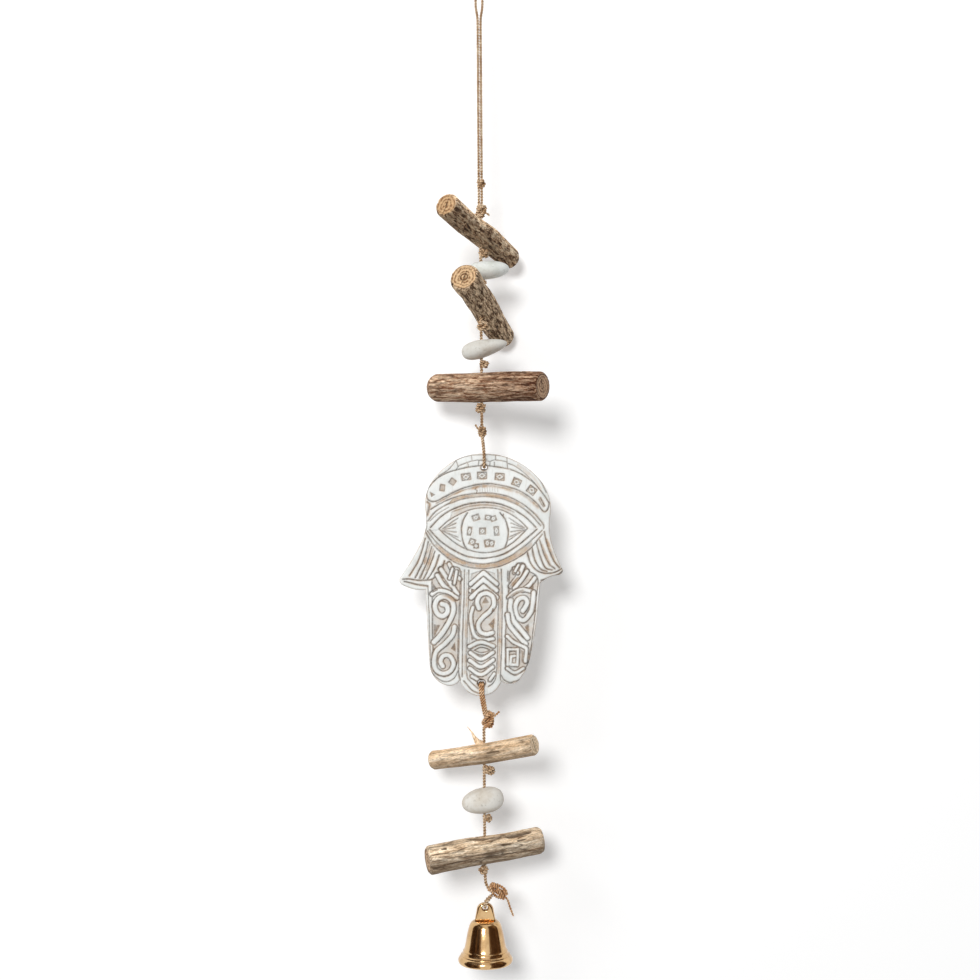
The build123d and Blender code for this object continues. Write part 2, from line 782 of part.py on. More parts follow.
with BuildPart() as hand:
    right_half = half_outline(1, right_side_shares, right_finger_heading_share, right_finger_shares)
    left_half = half_outline(-1, left_side_shares, left_finger_heading_share, left_finger_shares)
    with BuildLine(mode=Mode.PRIVATE) as middle_tip:
        add_arc([right_finger_shares[-1], middle_finger_tip_share, left_finger_shares[-1]])
    left_web = Vector(*on_hand(left_finger_shares[-1]))
    up_left = [left_web] + list(reversed(left_half[1:]))
    outline_points = right_half + short_runs(middle_tip.edges()[0]) + up_left
    with BuildSketch(Plane.XZ.offset(-hand_thickness / 2)):
        with BuildLine():
            Polyline(*[(point.X, point.Y) for point in outline_points], close=True)
        make_face()
    extrude(amount=hand_thickness)
    rims = hand.faces().filter_by(Axis.Y).edges()
    chamfer(rims, length=hand_edge_chamfer)

    # Rings of the eye, and the hollows either side of the raised iris
    with BuildSketch(hand_face):
        add_almond(outer_ring_shares)
        add_almond(outer_ring_core_shares, mode=Mode.SUBTRACT)
    extrude(amount=-groove_depth, mode=Mode.SUBTRACT)
    with BuildSketch(hand_face):
        add_almond(inner_ring_shares)
        add_almond(inner_ring_core_shares, mode=Mode.SUBTRACT)
    extrude(amount=-groove_depth, mode=Mode.SUBTRACT)
    with BuildSketch(hand_face):
        add_almond(eye_white_shares)
        with Locations(on_hand(iris_centre_share)):
            Ellipse(
                iris_width_share * hand_width / 2,
                iris_height_share * hand_height / 2,
                mode=Mode.SUBTRACT,
            )
    extrude(amount=-groove_depth, mode=Mode.SUBTRACT)

    # Wrist band, thumbs and the ribs between the fingers
    with BuildSketch(hand_face):
        for line in band_line_shares + rib_line_shares:
            add_groove(line, groove_width)
        for line in thumb_line_shares:
            add_bent_groove(line, groove_width)
    extrude(amount=-groove_depth, mode=Mode.SUBTRACT)
    with BuildSketch(hand_face):
        with Locations(*[on_hand(mark) for mark in band_mark_shares + eye_mark_shares]):
            Rectangle(mark_size, mark_size)
    extrude(amount=-mark_depth, mode=Mode.SUBTRACT)

    # Finger panels
    with BuildSketch(hand_face):
        for frame in finger_frame_shares:
            add_frame(frame, groove_width)
    extrude(amount=-groove_depth, mode=Mode.SUBTRACT)
    with BuildSketch(hand_face):
        for line in scroll_line_shares:
            add_groove(line, fine_groove_width)
        for centre, turn in zip(spiral_shares, spiral_turns):
            add_spiral(centre, turn, fine_groove_width)
        for step in range(chevron_count):
            for chevron in (chevron_up_shares, chevron_down_shares):
                add_bent_groove(
                    [(across, down + step * chevron_pitch_share) for across, down in chevron],
                    fine_groove_width,
                )
        add_bent_groove(hook_line_shares, fine_groove_width)
    extrude(amount=-groove_depth, mode=Mode.SUBTRACT)

    cut_cord_hole(top_hole_x, top_hole_z, top_hole_diameter)
    cut_cord_hole(bottom_hole_x, bottom_hole_z, bottom_hole_diameter)
finish(hand, "hand")


# Cords through the hand

# A strand bears on the hole's upper or lower side and rounds both rims with the same gap
strand_depth = hand_thickness / 2 + seat_gap + cord_radius
rim_bend_radius = hole_rim_radius + seat_gap + cord_radius
top_strand_z = top_hole_z + top_hole_diameter / 2 - cord_radius - seat_gap
bottom_strand_z = bottom_hole_z - bottom_hole_diameter / 2 + cord_radius + seat_gap
knot_8_bottom = -knot_8_drop - knot_8_height
knot_9_top = -knot_9_drop
hand_top_clearance = 2.3
hand_tip_clearance = 2.8
leg_bury = 2.0


def hand_leg(hole_x, strand_z, knot_x, knot_z, clear_z, side):
    """Points of one leg, from inside the knot to the corner where the cord enters the hole."""
    up = 1 if knot_z > strand_z else -1
    return [
        (knot_x, side * strand_spread, knot_z + up * leg_bury),
        (hole_x, side * strand_depth, clear_z),
        (hole_x, side * strand_depth, strand_z),
    ]


def add_hand_loop(hole_x, strand_z, knot_x, knot_z, clear_z):
    """Adds one strand: down the front, through the hole and up the back."""
    front = hand_leg(hole_x, strand_z, knot_x, knot_z, clear_z, -1)
    back = hand_leg(hole_x, strand_z, knot_x, knot_z, clear_z, 1)
    leg_bends = bend_radii(front)
    radii = leg_bends + [rim_bend_radius, rim_bend_radius] + leg_bends
    add_tube(front + list(reversed(back)), radii, cord_diameter)
    return radii


with BuildPart() as hand_loop:
    hand_loop_bends = add_hand_loop(
        top_hole_x, top_strand_z, 0, knot_8_bottom, -hand_top_drop + hand_top_clearance
    )
finish(hand_loop, "hand_loop")

with BuildPart() as knot_8:
    add_knot(knot_8_drop, small_knot_width, knot_8_height, double_turn_count)
finish(knot_8, "knot_8")

# The lower loop is doubled: two strands lie side by side through the hole
with BuildPart() as lower_loop:
    for pair_side in (-1, 1):
        lower_loop_bends = add_hand_loop(
            bottom_hole_x + pair_side * strand_spread,
            bottom_strand_z,
            knot_9_shift + pair_side * strand_spread,
            knot_9_top,
            -hand_top_drop - hand_height - hand_tip_clearance,
        )
finish(lower_loop, "lower_loop")

# The ninth knot keeps a short tail of cord
knot_9_tail_start = (2.0, 0, -5.0)
knot_9_tail_end = (8.6, 0, 0.4)
with BuildPart() as knot_9:
    add_knot(knot_9_drop, knot_9_width, knot_9_height, double_turn_count, knot_9_shift)
    add_straight(
        Vector(*knot_9_tail_start) + Vector(knot_9_shift, 0, -knot_9_drop),
        Vector(*knot_9_tail_end) + Vector(knot_9_shift, 0, -knot_9_drop),
        tail_diameter,
    )
finish(knot_9, "knot_9")

# Bell knot, lower cord and the bell's strands
bell_strand_z = -bell_eye_drop
bell_knot_slope = -30
bell_knot_shares = [(0.0, 0.55), (0.28, 1.0), (0.61, 1.0), (1.0, 0.55)]
bell_knot_centre = Vector(bell_knot_shift, 0, bell_strand_z + bell_knot_rise)
lie = math.radians(bell_knot_slope)
long_axis = Vector(math.cos(lie), 0, math.sin(lie))
bell_knot_foot = Plane(
    origin=bell_knot_centre - long_axis * (bell_knot_length / 2), x_dir=(0, 1, 0), z_dir=long_axis
)
bell_tail_points = [(8.4, 0, 6.4), (12.6, 0, 3.6), (14.0, 0, -0.6), (17.0, 0, -6.4)]

with BuildPart() as bell_knot:
    knot_rings = []
    for along_share, size_share in bell_knot_shares:
        knot_radius = size_share * bell_knot_thickness / 2
        knot_rings.append((along_share * bell_knot_length, knot_radius, knot_radius, 0, 0))
    add_rings(bell_knot_foot, knot_rings, [1] * knot_sides)
    tail_route = [Vector(*point) + Vector(0, 0, bell_strand_z) for point in bell_tail_points]
    add_tube(tail_route, bend_radii(tail_route), tail_diameter)
finish(bell_knot, "bell_knot")

lower_cord_points = [
    (0, 0, -knot_9_drop - knot_9_height),
    (0, 0, bell_strand_z + bell_knot_rise + lower_cord_bend_rise),
    (lower_cord_lean, 0, bell_strand_z + bell_knot_rise + lower_cord_lean_rise),
    (bell_knot_shift - bell_knot_length / 3, 0, bell_strand_z + bell_knot_rise),
]
with BuildPart() as lower_cord:
    lower_cord_bends = bend_radii(lower_cord_points)
    add_tube(lower_cord_points, lower_cord_bends, cord_diameter)
finish(lower_cord, "lower_cord")

bell_leg_depth = lug_thickness / 2 + seat_gap + cord_radius
bell_rim_bend = eye_rim_chamfer + seat_gap + cord_radius
bell_leg_top = (4.2, 6.6)
bell_leg_elbow = (2.1, 4.4)
with BuildPart() as bell_strands:
    front_leg = [
        (bell_leg_top[0], -strand_spread, bell_strand_z + bell_leg_top[1]),
        (bell_leg_elbow[0], -bell_leg_depth, bell_strand_z + bell_leg_elbow[1]),
        (0, -bell_leg_depth, bell_strand_z),
    ]
    back_leg = [(x, -y, z) for x, y, z in reversed(front_leg)]
    leg_bends = bend_radii(front_leg)
    bell_strand_bends = leg_bends + [bell_rim_bend, bell_rim_bend] + leg_bends
    add_tube(front_leg + back_leg, bell_strand_bends, cord_diameter)
finish(bell_strands, "bell_strands")

# Bell

# Radius and height of the outer outline, as shares of the rim's radius and of the bell's
# height, from the rim up
bell_outer_shares = [
    (0.965, 0.0), (1.0, 0.095), (0.85, 0.275), (0.755, 0.40), (0.585, 0.90), (0.53, 0.965),
]
inner_waist_point = 2
inner_top_point = 4
eye_centre_z = bell_strand_z - eye_diameter / 2 + cord_radius + seat_gap
lug_base_z = eye_centre_z - eye_height
rim_z = lug_base_z - bell_height
inner_top_z = lug_base_z - bell_wall

bell_sides = 48
outer_points = [
    (radius_share * bell_rim_radius, rim_z + height_share * bell_height)
    for radius_share, height_share in bell_outer_shares
]
waist_radius, waist_z = outer_points[inner_waist_point]
crown_radius, crown_z = outer_points[inner_top_point]
mouth_radius = outer_points[0][0] - bell_wall
inner_points = [
    (mouth_radius, rim_z - overrun),
    (mouth_radius, rim_z),
    (waist_radius - bell_wall, waist_z),
    (crown_radius - bell_wall, crown_z - bell_wall),
    (staple_half_width + wire_diameter, inner_top_z),
]

with BuildPart() as bell:
    outer_rings = [(z, radius, radius, 0, 0) for radius, z in outer_points]
    outer_rings.append((lug_base_z, bell_top_radius, bell_top_radius, 0, 0))
    add_rings(Plane.XY, outer_rings, [1] * bell_sides)
    inner_rings = [(z, radius, radius, 0, 0) for radius, z in inner_points]
    add_rings(Plane.XY, inner_rings, [1] * bell_sides, mode=Mode.SUBTRACT)
    with BuildSketch(Plane(origin=(0, 0, lug_base_z), x_dir=(1, 0, 0), z_dir=(0, -1, 0))):
        with BuildLine():
            Polyline(
                (-lug_waist_half_width, lug_waist_height), (-lug_base_half_width, -bell_wall / 2),
                (lug_base_half_width, -bell_wall / 2), (lug_waist_half_width, lug_waist_height),
            )
            ThreePointArc(
                (lug_waist_half_width, lug_waist_height), (0, lug_height),
                (-lug_waist_half_width, lug_waist_height),
            )
        make_face()
    extrude(amount=lug_thickness / 2, both=True)
    with BuildSketch(Plane.XZ):
        with Locations((0, eye_centre_z)):
            Circle(eye_diameter / 2)
    extrude(amount=lug_thickness, both=True, mode=Mode.SUBTRACT)
    eye_rims = bell.edges().filter_by(GeomType.CIRCLE).filter_by(
        lambda edge: abs(edge.radius - eye_diameter / 2) < eye_rim_chamfer / 10
        and abs(edge.arc_center.Z - eye_centre_z) < eye_rim_chamfer
    )
    chamfer(eye_rims, length=eye_rim_chamfer)
finish(bell, "bell")

# Clapper staple: a wire bow with its feet in the crown
staple_bar_z = inner_top_z - staple_reach
with BuildPart() as clapper_staple:
    staple_points = [
        (-staple_half_width, 0, inner_top_z),
        (-staple_half_width, 0, staple_bar_z),
        (staple_half_width, 0, staple_bar_z),
        (staple_half_width, 0, inner_top_z),
    ]
    add_tube(staple_points, staple_bend, wire_diameter)
finish(clapper_staple, "clapper_staple")

# Clapper: a flat eye, a rod and a turned drop
ball_foot_z = staple_bar_z - clapper_length
clapper_sides = 16
clapper_shares = [(0.0, 0.55), (0.22, 0.95), (0.45, 1.0), (0.78, 0.72), (1.0, 0.3)]
with BuildPart() as clapper:
    with BuildSketch(Plane(origin=(0, 0, staple_bar_z), x_dir=(0, 1, 0), z_dir=(1, 0, 0))):
        Circle(clapper_eye_radius)
        Circle(wire_diameter / 2 + clapper_eye_gap, mode=Mode.SUBTRACT)
    extrude(amount=clapper_eye_thickness / 2, both=True)
    eye_overlap = clapper_eye_radius - wire_diameter / 2 - clapper_eye_gap
    rod_top_z = staple_bar_z - clapper_eye_radius + eye_overlap / 2
    rod_foot_z = ball_foot_z + clapper_ball_height / 2
    add_straight((0, 0, rod_foot_z), (0, 0, rod_top_z), clapper_rod_diameter)
    ball_rings = []
    for along_share, size_share in clapper_shares:
        ball_radius = size_share * clapper_ball_radius
        ball_rings.append((along_share * clapper_ball_height, ball_radius, ball_radius, 0, 0))
    add_rings(Plane.XY.offset(ball_foot_z), ball_rings, [1] * clapper_sides)
finish(clapper, "clapper")

print("hanging loop bends", [round(bend, 1) for bend in loop_bends])
print("hand loop bends", [round(bend, 1) for bend in hand_loop_bends])
print("lower loop bends", [round(bend, 1) for bend in lower_loop_bends])
print("lower cord bends", [round(bend, 1) for bend in lower_cord_bends])
print("bell strand bends", [round(bend, 1) for bend in bell_strand_bends])
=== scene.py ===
import json
import math

import bmesh
import bpy
import numpy as np
from mathutils import Matrix, Vector


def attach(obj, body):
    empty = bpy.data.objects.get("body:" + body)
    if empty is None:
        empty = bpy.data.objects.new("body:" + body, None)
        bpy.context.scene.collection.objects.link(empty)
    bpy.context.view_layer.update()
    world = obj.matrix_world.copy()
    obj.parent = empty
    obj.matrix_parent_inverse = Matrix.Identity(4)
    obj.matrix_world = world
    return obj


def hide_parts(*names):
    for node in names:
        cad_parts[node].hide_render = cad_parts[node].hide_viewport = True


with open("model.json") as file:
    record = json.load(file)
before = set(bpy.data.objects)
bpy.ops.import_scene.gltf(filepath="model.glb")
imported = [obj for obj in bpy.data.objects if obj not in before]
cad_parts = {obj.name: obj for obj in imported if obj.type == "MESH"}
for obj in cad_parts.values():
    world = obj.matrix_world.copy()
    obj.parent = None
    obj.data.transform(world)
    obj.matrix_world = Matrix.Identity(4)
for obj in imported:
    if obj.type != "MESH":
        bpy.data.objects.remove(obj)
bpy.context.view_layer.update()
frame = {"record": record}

# Lengths below are millimetres unless a name says otherwise, as in the CAD.
MM = 0.001
FULL_TURN = 2 * math.pi
BODY = {
    node: body
    for body, nodes in frame["record"]["behaviour"]["bodies"].items()
    for node in nodes
}


# Camera: straight in front, a metre away, rolled as the photograph is

CAMERA_DISTANCE = 1000.0
CAMERA_ACROSS, CAMERA_HEIGHT = 4.81, -306.3
CAMERA_ROLL = math.radians(0.382)
PHOTO_PIXELS = 980
PIXEL = 0.625
SENSOR = 36
camera_data = bpy.data.cameras.new("camera")
camera_data.sensor_width = SENSOR
camera_data.lens = SENSOR * CAMERA_DISTANCE / (PHOTO_PIXELS * PIXEL)
camera_data.clip_start = 0.05
camera_data.clip_end = 20
camera = bpy.data.objects.new("camera", camera_data)
camera.location = (CAMERA_ACROSS * MM, -CAMERA_DISTANCE * MM, CAMERA_HEIGHT * MM)
camera.rotation_euler = (math.pi / 2, CAMERA_ROLL, 0)
bpy.context.scene.collection.objects.link(camera)
bpy.context.scene.camera = camera


# Noise on arrays of points, the same on every run

def lattice(x, y, z, seed):
    mixed = (x * 73856093) ^ (y * 19349663) ^ (z * 83492791) ^ (seed * 40503177)
    mixed = (mixed ^ (mixed >> 13)) * 1274126177
    mixed = mixed ^ (mixed >> 16)
    return (mixed & 0xFFFFFF) / 0xFFFFFF * 2 - 1


def noise(points, scale, seed=0):
    """Smooth noise from -1 to 1 at an array of points; scale is the size of its lumps."""
    place = np.asarray(points, float) / scale
    cell = np.floor(place).astype(np.int64)
    part = place - cell
    part = part * part * (3 - 2 * part)
    total = np.zeros(len(place))
    for corner in range(8):
        step = np.array([corner & 1, corner >> 1 & 1, corner >> 2 & 1])
        weight = np.where(step, part, 1 - part).prod(1)
        total += weight * lattice(*(cell + step).T, seed)
    return total


def layered_noise(points, scale, layers, seed):
    total = np.zeros(len(points))
    for layer in range(layers):
        total += 0.5 ** layer * noise(points, scale * 0.5 ** layer, seed + layer * 17)
    return total / (2 - 0.5 ** (layers - 1))


# Meshes and placing

def make_piece(name, points, faces, material, node_name, replaces=True, floats=None,
               vectors=None):
    """Makes a piece from points in millimetres; it rides with a CAD node and stands for it."""
    mesh = bpy.data.meshes.new(name)
    mesh.from_pydata((np.asarray(points, float) * MM).tolist(), [], faces)
    for kind, field, table in (("FLOAT", "value", floats), ("FLOAT_VECTOR", "vector", vectors)):
        for key, values in (table or {}).items():
            layer = mesh.attributes.new(key, kind, "POINT")
            layer.data.foreach_set(field, np.asarray(values, np.float32).ravel())
    mesh.validate()
    mesh.polygons.foreach_set("use_smooth", [True] * len(mesh.polygons))
    mesh.materials.append(material)
    piece = bpy.data.objects.new(name, mesh)
    bpy.context.scene.collection.objects.link(piece)
    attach(piece, BODY[node_name])
    if replaces:
        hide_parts(node_name)
    return piece


def weld(piece, gap):
    """Joins points less than gap metres apart and turns every face outwards."""
    clean = bmesh.new()
    clean.from_mesh(piece.data)
    bmesh.ops.remove_doubles(clean, verts=clean.verts, dist=gap)
    bmesh.ops.recalc_face_normals(clean, faces=clean.faces)
    clean.to_mesh(piece.data)
    clean.free()


HOLE_RADIUS = 1.2


def drill(piece, drop, length):
    """Drills the cord's upright hole through a piece."""
    shape = bmesh.new()
    bmesh.ops.create_cone(
        shape, cap_ends=True, segments=32, radius1=HOLE_RADIUS * MM,
        radius2=HOLE_RADIUS * MM, depth=length * MM,
    )
    bmesh.ops.translate(shape, verts=shape.verts, vec=Vector((0, 0, -drop)) * MM)
    tool_mesh = bpy.data.meshes.new("drill")
    shape.to_mesh(tool_mesh)
    shape.free()
    tool = bpy.data.objects.new("drill", tool_mesh)
    bpy.context.scene.collection.objects.link(tool)
    cut = piece.modifiers.new("hole", "BOOLEAN")
    cut.operation = "DIFFERENCE"
    cut.solver = "EXACT"
    cut.object = tool
    bpy.context.view_layer.update()
    graph = bpy.context.evaluated_depsgraph_get()
    drilled = bpy.data.meshes.new_from_object(piece.evaluated_get(graph))
    piece.modifiers.clear()
    piece.data = drilled
    bpy.data.objects.remove(tool)
    drilled.polygons.foreach_set("use_smooth", [True] * len(drilled.polygons))


def grid_faces(rows, columns, closed_columns=True, closed_rows=False):
    faces = []
    for row in range(rows if closed_rows else rows - 1):
        after_row = (row + 1) % rows
        for column in range(columns if closed_columns else columns - 1):
            after = (column + 1) % columns
            faces.append((
                row * columns + column, row * columns + after,
                after_row * columns + after, after_row * columns + column,
            ))
    return faces


def shifted(faces, base):
    return [tuple(index + base for index in face) for face in faces]


def tube_caps(rows, columns):
    """The faces that close the two ends of a tube."""
    last = (rows - 1) * columns
    return [tuple(range(columns - 1, -1, -1)), tuple(range(last, last + columns))]


def smooth_line(points, per_run=6):
    """A smooth line through three or more given points."""
    points = [np.asarray(point, float) for point in points]
    padded = [2 * points[0] - points[1]] + points + [2 * points[-1] - points[-2]]
    line = []
    for a, b, c, d in zip(padded, padded[1:], padded[2:], padded[3:]):
        for step in range(per_run):
            t = step / per_run
            line.append(0.5 * (
                2 * b + (c - a) * t + (2 * a - 5 * b + 4 * c - d) * t * t
                + (3 * b - a - 3 * c + d) * t ** 3
            ))
    line.append(points[-1])
    return np.array(line)


# Materials

def darker(colour, share):
    return [channel * share for channel in colour]


class Nodes:
    """Short calls that make nodes in one node tree."""

    def __init__(self, tree):
        self.tree = tree

    def feed(self, socket, value):
        """Links a node's output to a socket, or sets the socket's own value."""
        if isinstance(value, bpy.types.NodeSocket):
            self.tree.links.new(value, socket)
        elif socket.type == "RGBA":
            socket.default_value = (*value, 1)
        else:
            socket.default_value = value

    def add(self, kind, inputs=None, **settings):
        made = self.tree.nodes.new(kind)
        for key, value in settings.items():
            setattr(made, key, value)
        for key, value in (inputs or {}).items():
            self.feed(made.inputs[key], value)
        return made

    def ramp(self, source, *stops):
        """A colour ramp of (place, colour) stops; one number stands for a grey."""
        made = self.add("ShaderNodeValToRGB", {"Fac": source})
        elements = made.color_ramp.elements
        while len(elements) < len(stops):
            elements.new(0.5)
        for element, (place, colour) in zip(elements, stops):
            element.position = place
            element.color = (*(colour if np.ndim(colour) else (colour,) * 3), 1)
        return made.outputs["Color"]

    def mix(self, factor, first, second, blend="MIX"):
        made = self.add(
            "ShaderNodeMix", {0: factor, 6: first, 7: second}, data_type="RGBA", blend_type=blend,
        )
        return made.outputs[2]

    def shade(self, colour, tint, strength=1.0):
        return self.mix(strength, colour, tint, "MULTIPLY")

    def maths(self, operation, *values, clamp=False):
        made = self.add("ShaderNodeMath", dict(enumerate(values)), operation=operation,
                        use_clamp=clamp)
        return made.outputs[0]

    def attribute(self, name, output="Fac"):
        return self.add("ShaderNodeAttribute", attribute_name=name).outputs[output]

    def where(self):
        return self.add("ShaderNodeTexCoord").outputs["Object"]

    def noise(self, where, scale, detail=4.0, roughness=0.55, distortion=0.0, stretch=None):
        if stretch:
            stretched = self.add("ShaderNodeMapping", {"Scale": stretch, "Vector": where})
            where = stretched.outputs["Vector"]
        made = self.add("ShaderNodeTexNoise", {
            "Vector": where, "Scale": scale, "Detail": detail, "Roughness": roughness,
            "Distortion": distortion,
        })
        return made.outputs["Fac"]

    def seen_rays(self):
        """1 for the rays that show the background: camera, glossy and transmission rays."""
        paths = self.add("ShaderNodeLightPath").outputs
        either = self.maths("ADD", paths["Is Camera Ray"], paths["Is Glossy Ray"])
        return self.maths("ADD", either, paths["Is Transmission Ray"], clamp=True)


class Look(Nodes):
    """A new material and its shader."""

    def __init__(self, name):
        self.material = bpy.data.materials.new(name)
        self.material.use_nodes = True
        super().__init__(self.material.node_tree)
        self.shader = self.tree.nodes["Principled BSDF"]

    def finish(self, colour, rough, specular=0.5, metallic=0.0, bump=None):
        """Sets the shader; bump is (height, strength, distance)."""
        for key, value in (
            ("Base Color", colour), ("Roughness", rough), ("Specular IOR Level", specular),
            ("Metallic", metallic),
        ):
            self.feed(self.shader.inputs[key], value)
        if bump:
            made = self.add("ShaderNodeBump", dict(zip(("Height", "Strength", "Distance"), bump)))
            self.feed(self.shader.inputs["Normal"], made.outputs["Normal"])
        return self.material


def twine_material(name, dark, middle, light):
    look = Look(name)
    where = look.where()
    patches = look.noise(where, 260.0, 3.0)
    fibres = look.noise(where, 1.0, 3.0, stretch=(2600, 2600, 500))
    hair = look.ramp(fibres, (0.35, (0.55, 0.48, 0.42)), (0.60, (1.2, 1.17, 1.12)))
    colour = look.shade(look.ramp(patches, (0.32, dark), (0.48, middle), (0.66, light)), hair)
    # painted shade: the valleys where the two plies meet are darkened in the colour
    ply_valley_shade = look.maths("MULTIPLY", look.attribute("ply_valley_shade"), 1.25, clamp=True)
    colour = look.mix(ply_valley_shade, colour, darker(dark, 0.30))
    return look.finish(colour, 0.8, 0.25, bump=(fibres, 0.6, 0.0003))


def stone_material(name, base, warm, speck):
    look = Look(name)
    where = look.where()
    patches = look.noise(where, 90.0, 5.0, 0.6)
    grains = look.noise(where, 1400.0, 3.0, 0.7)
    pits = look.noise(where, 520.0, 4.0, 0.65)
    colour = look.ramp(patches, (0.36, warm), (0.58, base))
    colour = look.mix(look.ramp(grains, (0.60, 0), (0.72, 0.45)), colour, speck)
    colour = look.mix(look.ramp(pits, (0.30, 0.5), (0.40, 0)), colour, darker(warm, 0.55))
    return look.finish(colour, 0.72, 0.3, bump=(pits, 0.35, 0.0006))


MIDDLE_TONE = 0.49


def wood_material(name, dark, middle, light, end_dark, end_light, streak, long, top,
                  rough=0.85, furrow=0.85, hoop=0.0, spread=0.15, dusk=0.0):
    """Weathered wood. The mesh carries its place along and round the stick, how deep each
    point lies in a furrow or crack, which the colour darkens as painted shade, and whether it is
    on a sawn or broken end. Top is how much paler the upper side is painted than the lower, as
    painted light and shade, hoop the radius of a round crack in the ends, dusk the
    place along the stick from which it turns darker."""
    look = Look(name)
    where = look.attribute("stick", "Vector")
    along, across, upward = look.add("ShaderNodeSeparateXYZ", {0: where}).outputs
    streaks = look.noise(where, streak, 6.0, 0.68, 0.6, stretch=(long, 0.55, 0.55))
    blotches = look.noise(where, 0.16, 4.0, 0.6, stretch=(0.5, 1, 1))
    fine = look.noise(where, 1.7, 5.0, 0.7, stretch=(0.25, 1, 1))
    colour = look.ramp(
        streaks, (MIDDLE_TONE - spread, dark), (MIDDLE_TONE, middle), (MIDDLE_TONE + spread, light),
    )
    colour = look.shade(
        colour, look.ramp(blotches, (0.30, (0.70, 0.67, 0.64)), (0.70, (1.18, 1.16, 1.12))),
    )
    # painted light and shade: the upper side is painted lighter, with highlights, and the lower
    # side darker, by top
    painted_top_light = look.maths("MULTIPLY_ADD", upward, 0.08, 0.5)
    painted_top_light = look.maths("ADD", painted_top_light, look.maths("MULTIPLY_ADD", blotches, 0.5, -0.25))
    painted_top_light = look.ramp(painted_top_light, (0.22, (0.50, 0.45, 0.40)), (0.58, 1), (0.92, (1.6, 1.5, 1.36)))
    colour = look.shade(colour, painted_top_light, top)
    grit = look.ramp(fine, (0.36, (0.42, 0.38, 0.34)), (0.52, 1), (0.70, (1.3, 1.28, 1.24)))
    colour = look.shade(colour, grit, 0.85)
    if dusk:
        shaded = look.maths("MULTIPLY_ADD", along, 0.07, -0.07 * dusk, clamp=True)
        shaded = look.maths("MULTIPLY", shaded, look.ramp(streaks, (0.42, 1), (0.56, 0.45)))
        colour = look.shade(colour, (0.42, 0.29, 0.22), shaded)
    # painted shade: furrows and cracks are darkened in the colour by how deep they cut
    deep = look.maths("MULTIPLY", look.attribute("furrow"), furrow, clamp=True)
    colour = look.mix(deep, colour, darker(dark, 0.28))
    squares = [look.maths("POWER", part, 2.0) for part in (across, upward)]
    reach = look.maths("SQRT", look.maths("ADD", *squares))
    mottle = look.noise(where, 0.75, 4.0, 0.65)
    sway = look.maths("MULTIPLY_ADD", look.noise(where, 0.22, 3.0), 3.4, -1.7)
    rings = look.maths("SINE", look.maths("MULTIPLY", look.maths("ADD", reach, sway), 3.0))
    rings = look.maths("MULTIPLY_ADD", rings, 0.12, mottle)
    bright = [min(1, channel * 1.35) for channel in end_light]
    ends = look.ramp(rings, (0.33, end_dark), (0.50, end_light), (0.72, bright))
    crack = look.maths("MULTIPLY_ADD", upward, 0.35, look.maths("ADD", across, sway))
    crack = look.maths("LESS_THAN", look.maths("ABSOLUTE", crack), 0.32)
    crack = look.maths("MULTIPLY", crack, look.maths("LESS_THAN", reach, 4.6))
    ends = look.mix(look.maths("MULTIPLY", crack, 0.85), ends, darker(end_dark, 0.25))
    if hoop:
        crack = look.maths("ADD", reach, look.maths("MULTIPLY_ADD", sway, 0.35, -hoop))
        crack = look.maths("LESS_THAN", look.maths("ABSOLUTE", crack), 0.42)
        ends = look.mix(look.maths("MULTIPLY", crack, 0.9), ends, darker(end_dark, 0.5))
    colour = look.mix(look.attribute("end"), colour, ends)
    height = look.maths("MULTIPLY", look.maths("ADD", streaks, fine), 0.6)
    return look.finish(colour, rough, 0.22, bump=(height, 0.8, 0.0009))


def brass_material(name, rough, colour, stain):
    look = Look(name)
    where = look.where()
    cloud = look.noise(where, 130.0, 4.0, 0.6)
    lines = look.noise(where, 1.0, 3.0, stretch=(60, 60, 2600))
    tint = look.mix(0.6, colour, look.ramp(cloud, (0.34, stain), (0.58, colour)))
    gloss = look.maths("MULTIPLY_ADD", cloud, 0.16, rough - 0.06)
    return look.finish(tint, gloss, metallic=1.0, bump=(lines, 0.12, 0.0001))


def hand_material():
    """Whitewash rubbed back to tan wood, dark in the cuts with dark wood and painted shade."""
    look = Look("whitewashed_wood")
    where = look.where()
    cloud = look.noise(where, 70.0, 5.0, 0.6)
    fibre = look.noise(where, 1.0, 4.0, 0.6, stretch=(900, 900, 110))
    crumb = look.noise(where, 750.0, 4.0, 0.7)
    breaks = look.noise(where, 240.0, 4.0, 0.65)
    wash = look.ramp(
        cloud, (0.32, (0.72, 0.74, 0.72)), (0.52, (0.85, 0.865, 0.845)), (0.72, (0.92, 0.93, 0.91)),
    )
    wash = look.mix(look.ramp(fibre, (0.28, 0.55), (0.45, 0)), wash, (0.70, 0.68, 0.63))
    tan = look.ramp(
        breaks, (0.36, (0.30, 0.155, 0.07)), (0.50, (0.56, 0.36, 0.21)), (0.62, (0.66, 0.57, 0.46)),
    )
    worn = look.ramp(breaks, (0.30, 0.25), (0.55, 1))
    stain = look.maths("MULTIPLY", look.attribute("stain"), worn, clamp=True)
    dark = look.ramp(
        breaks, (0.34, (0.030, 0.024, 0.018)), (0.52, (0.075, 0.046, 0.028)),
        (0.68, (0.25, 0.13, 0.06)),
    )
    # painted shade with dark wood: the cuts are darkened in the colour
    dark_wood_and_cut_shade = look.ramp(crumb, (0.28, 0.45), (0.60, 1))
    dark_wood_and_cut_shade = look.maths("MULTIPLY", look.attribute("cut"), dark_wood_and_cut_shade, clamp=True)
    colour = look.mix(dark_wood_and_cut_shade, look.mix(stain, wash, tan), dark)
    height = look.maths("MULTIPLY_ADD", fibre, 0.5, crumb)
    return look.finish(colour, 0.8, 0.25, bump=(height, 0.45, 0.0005))


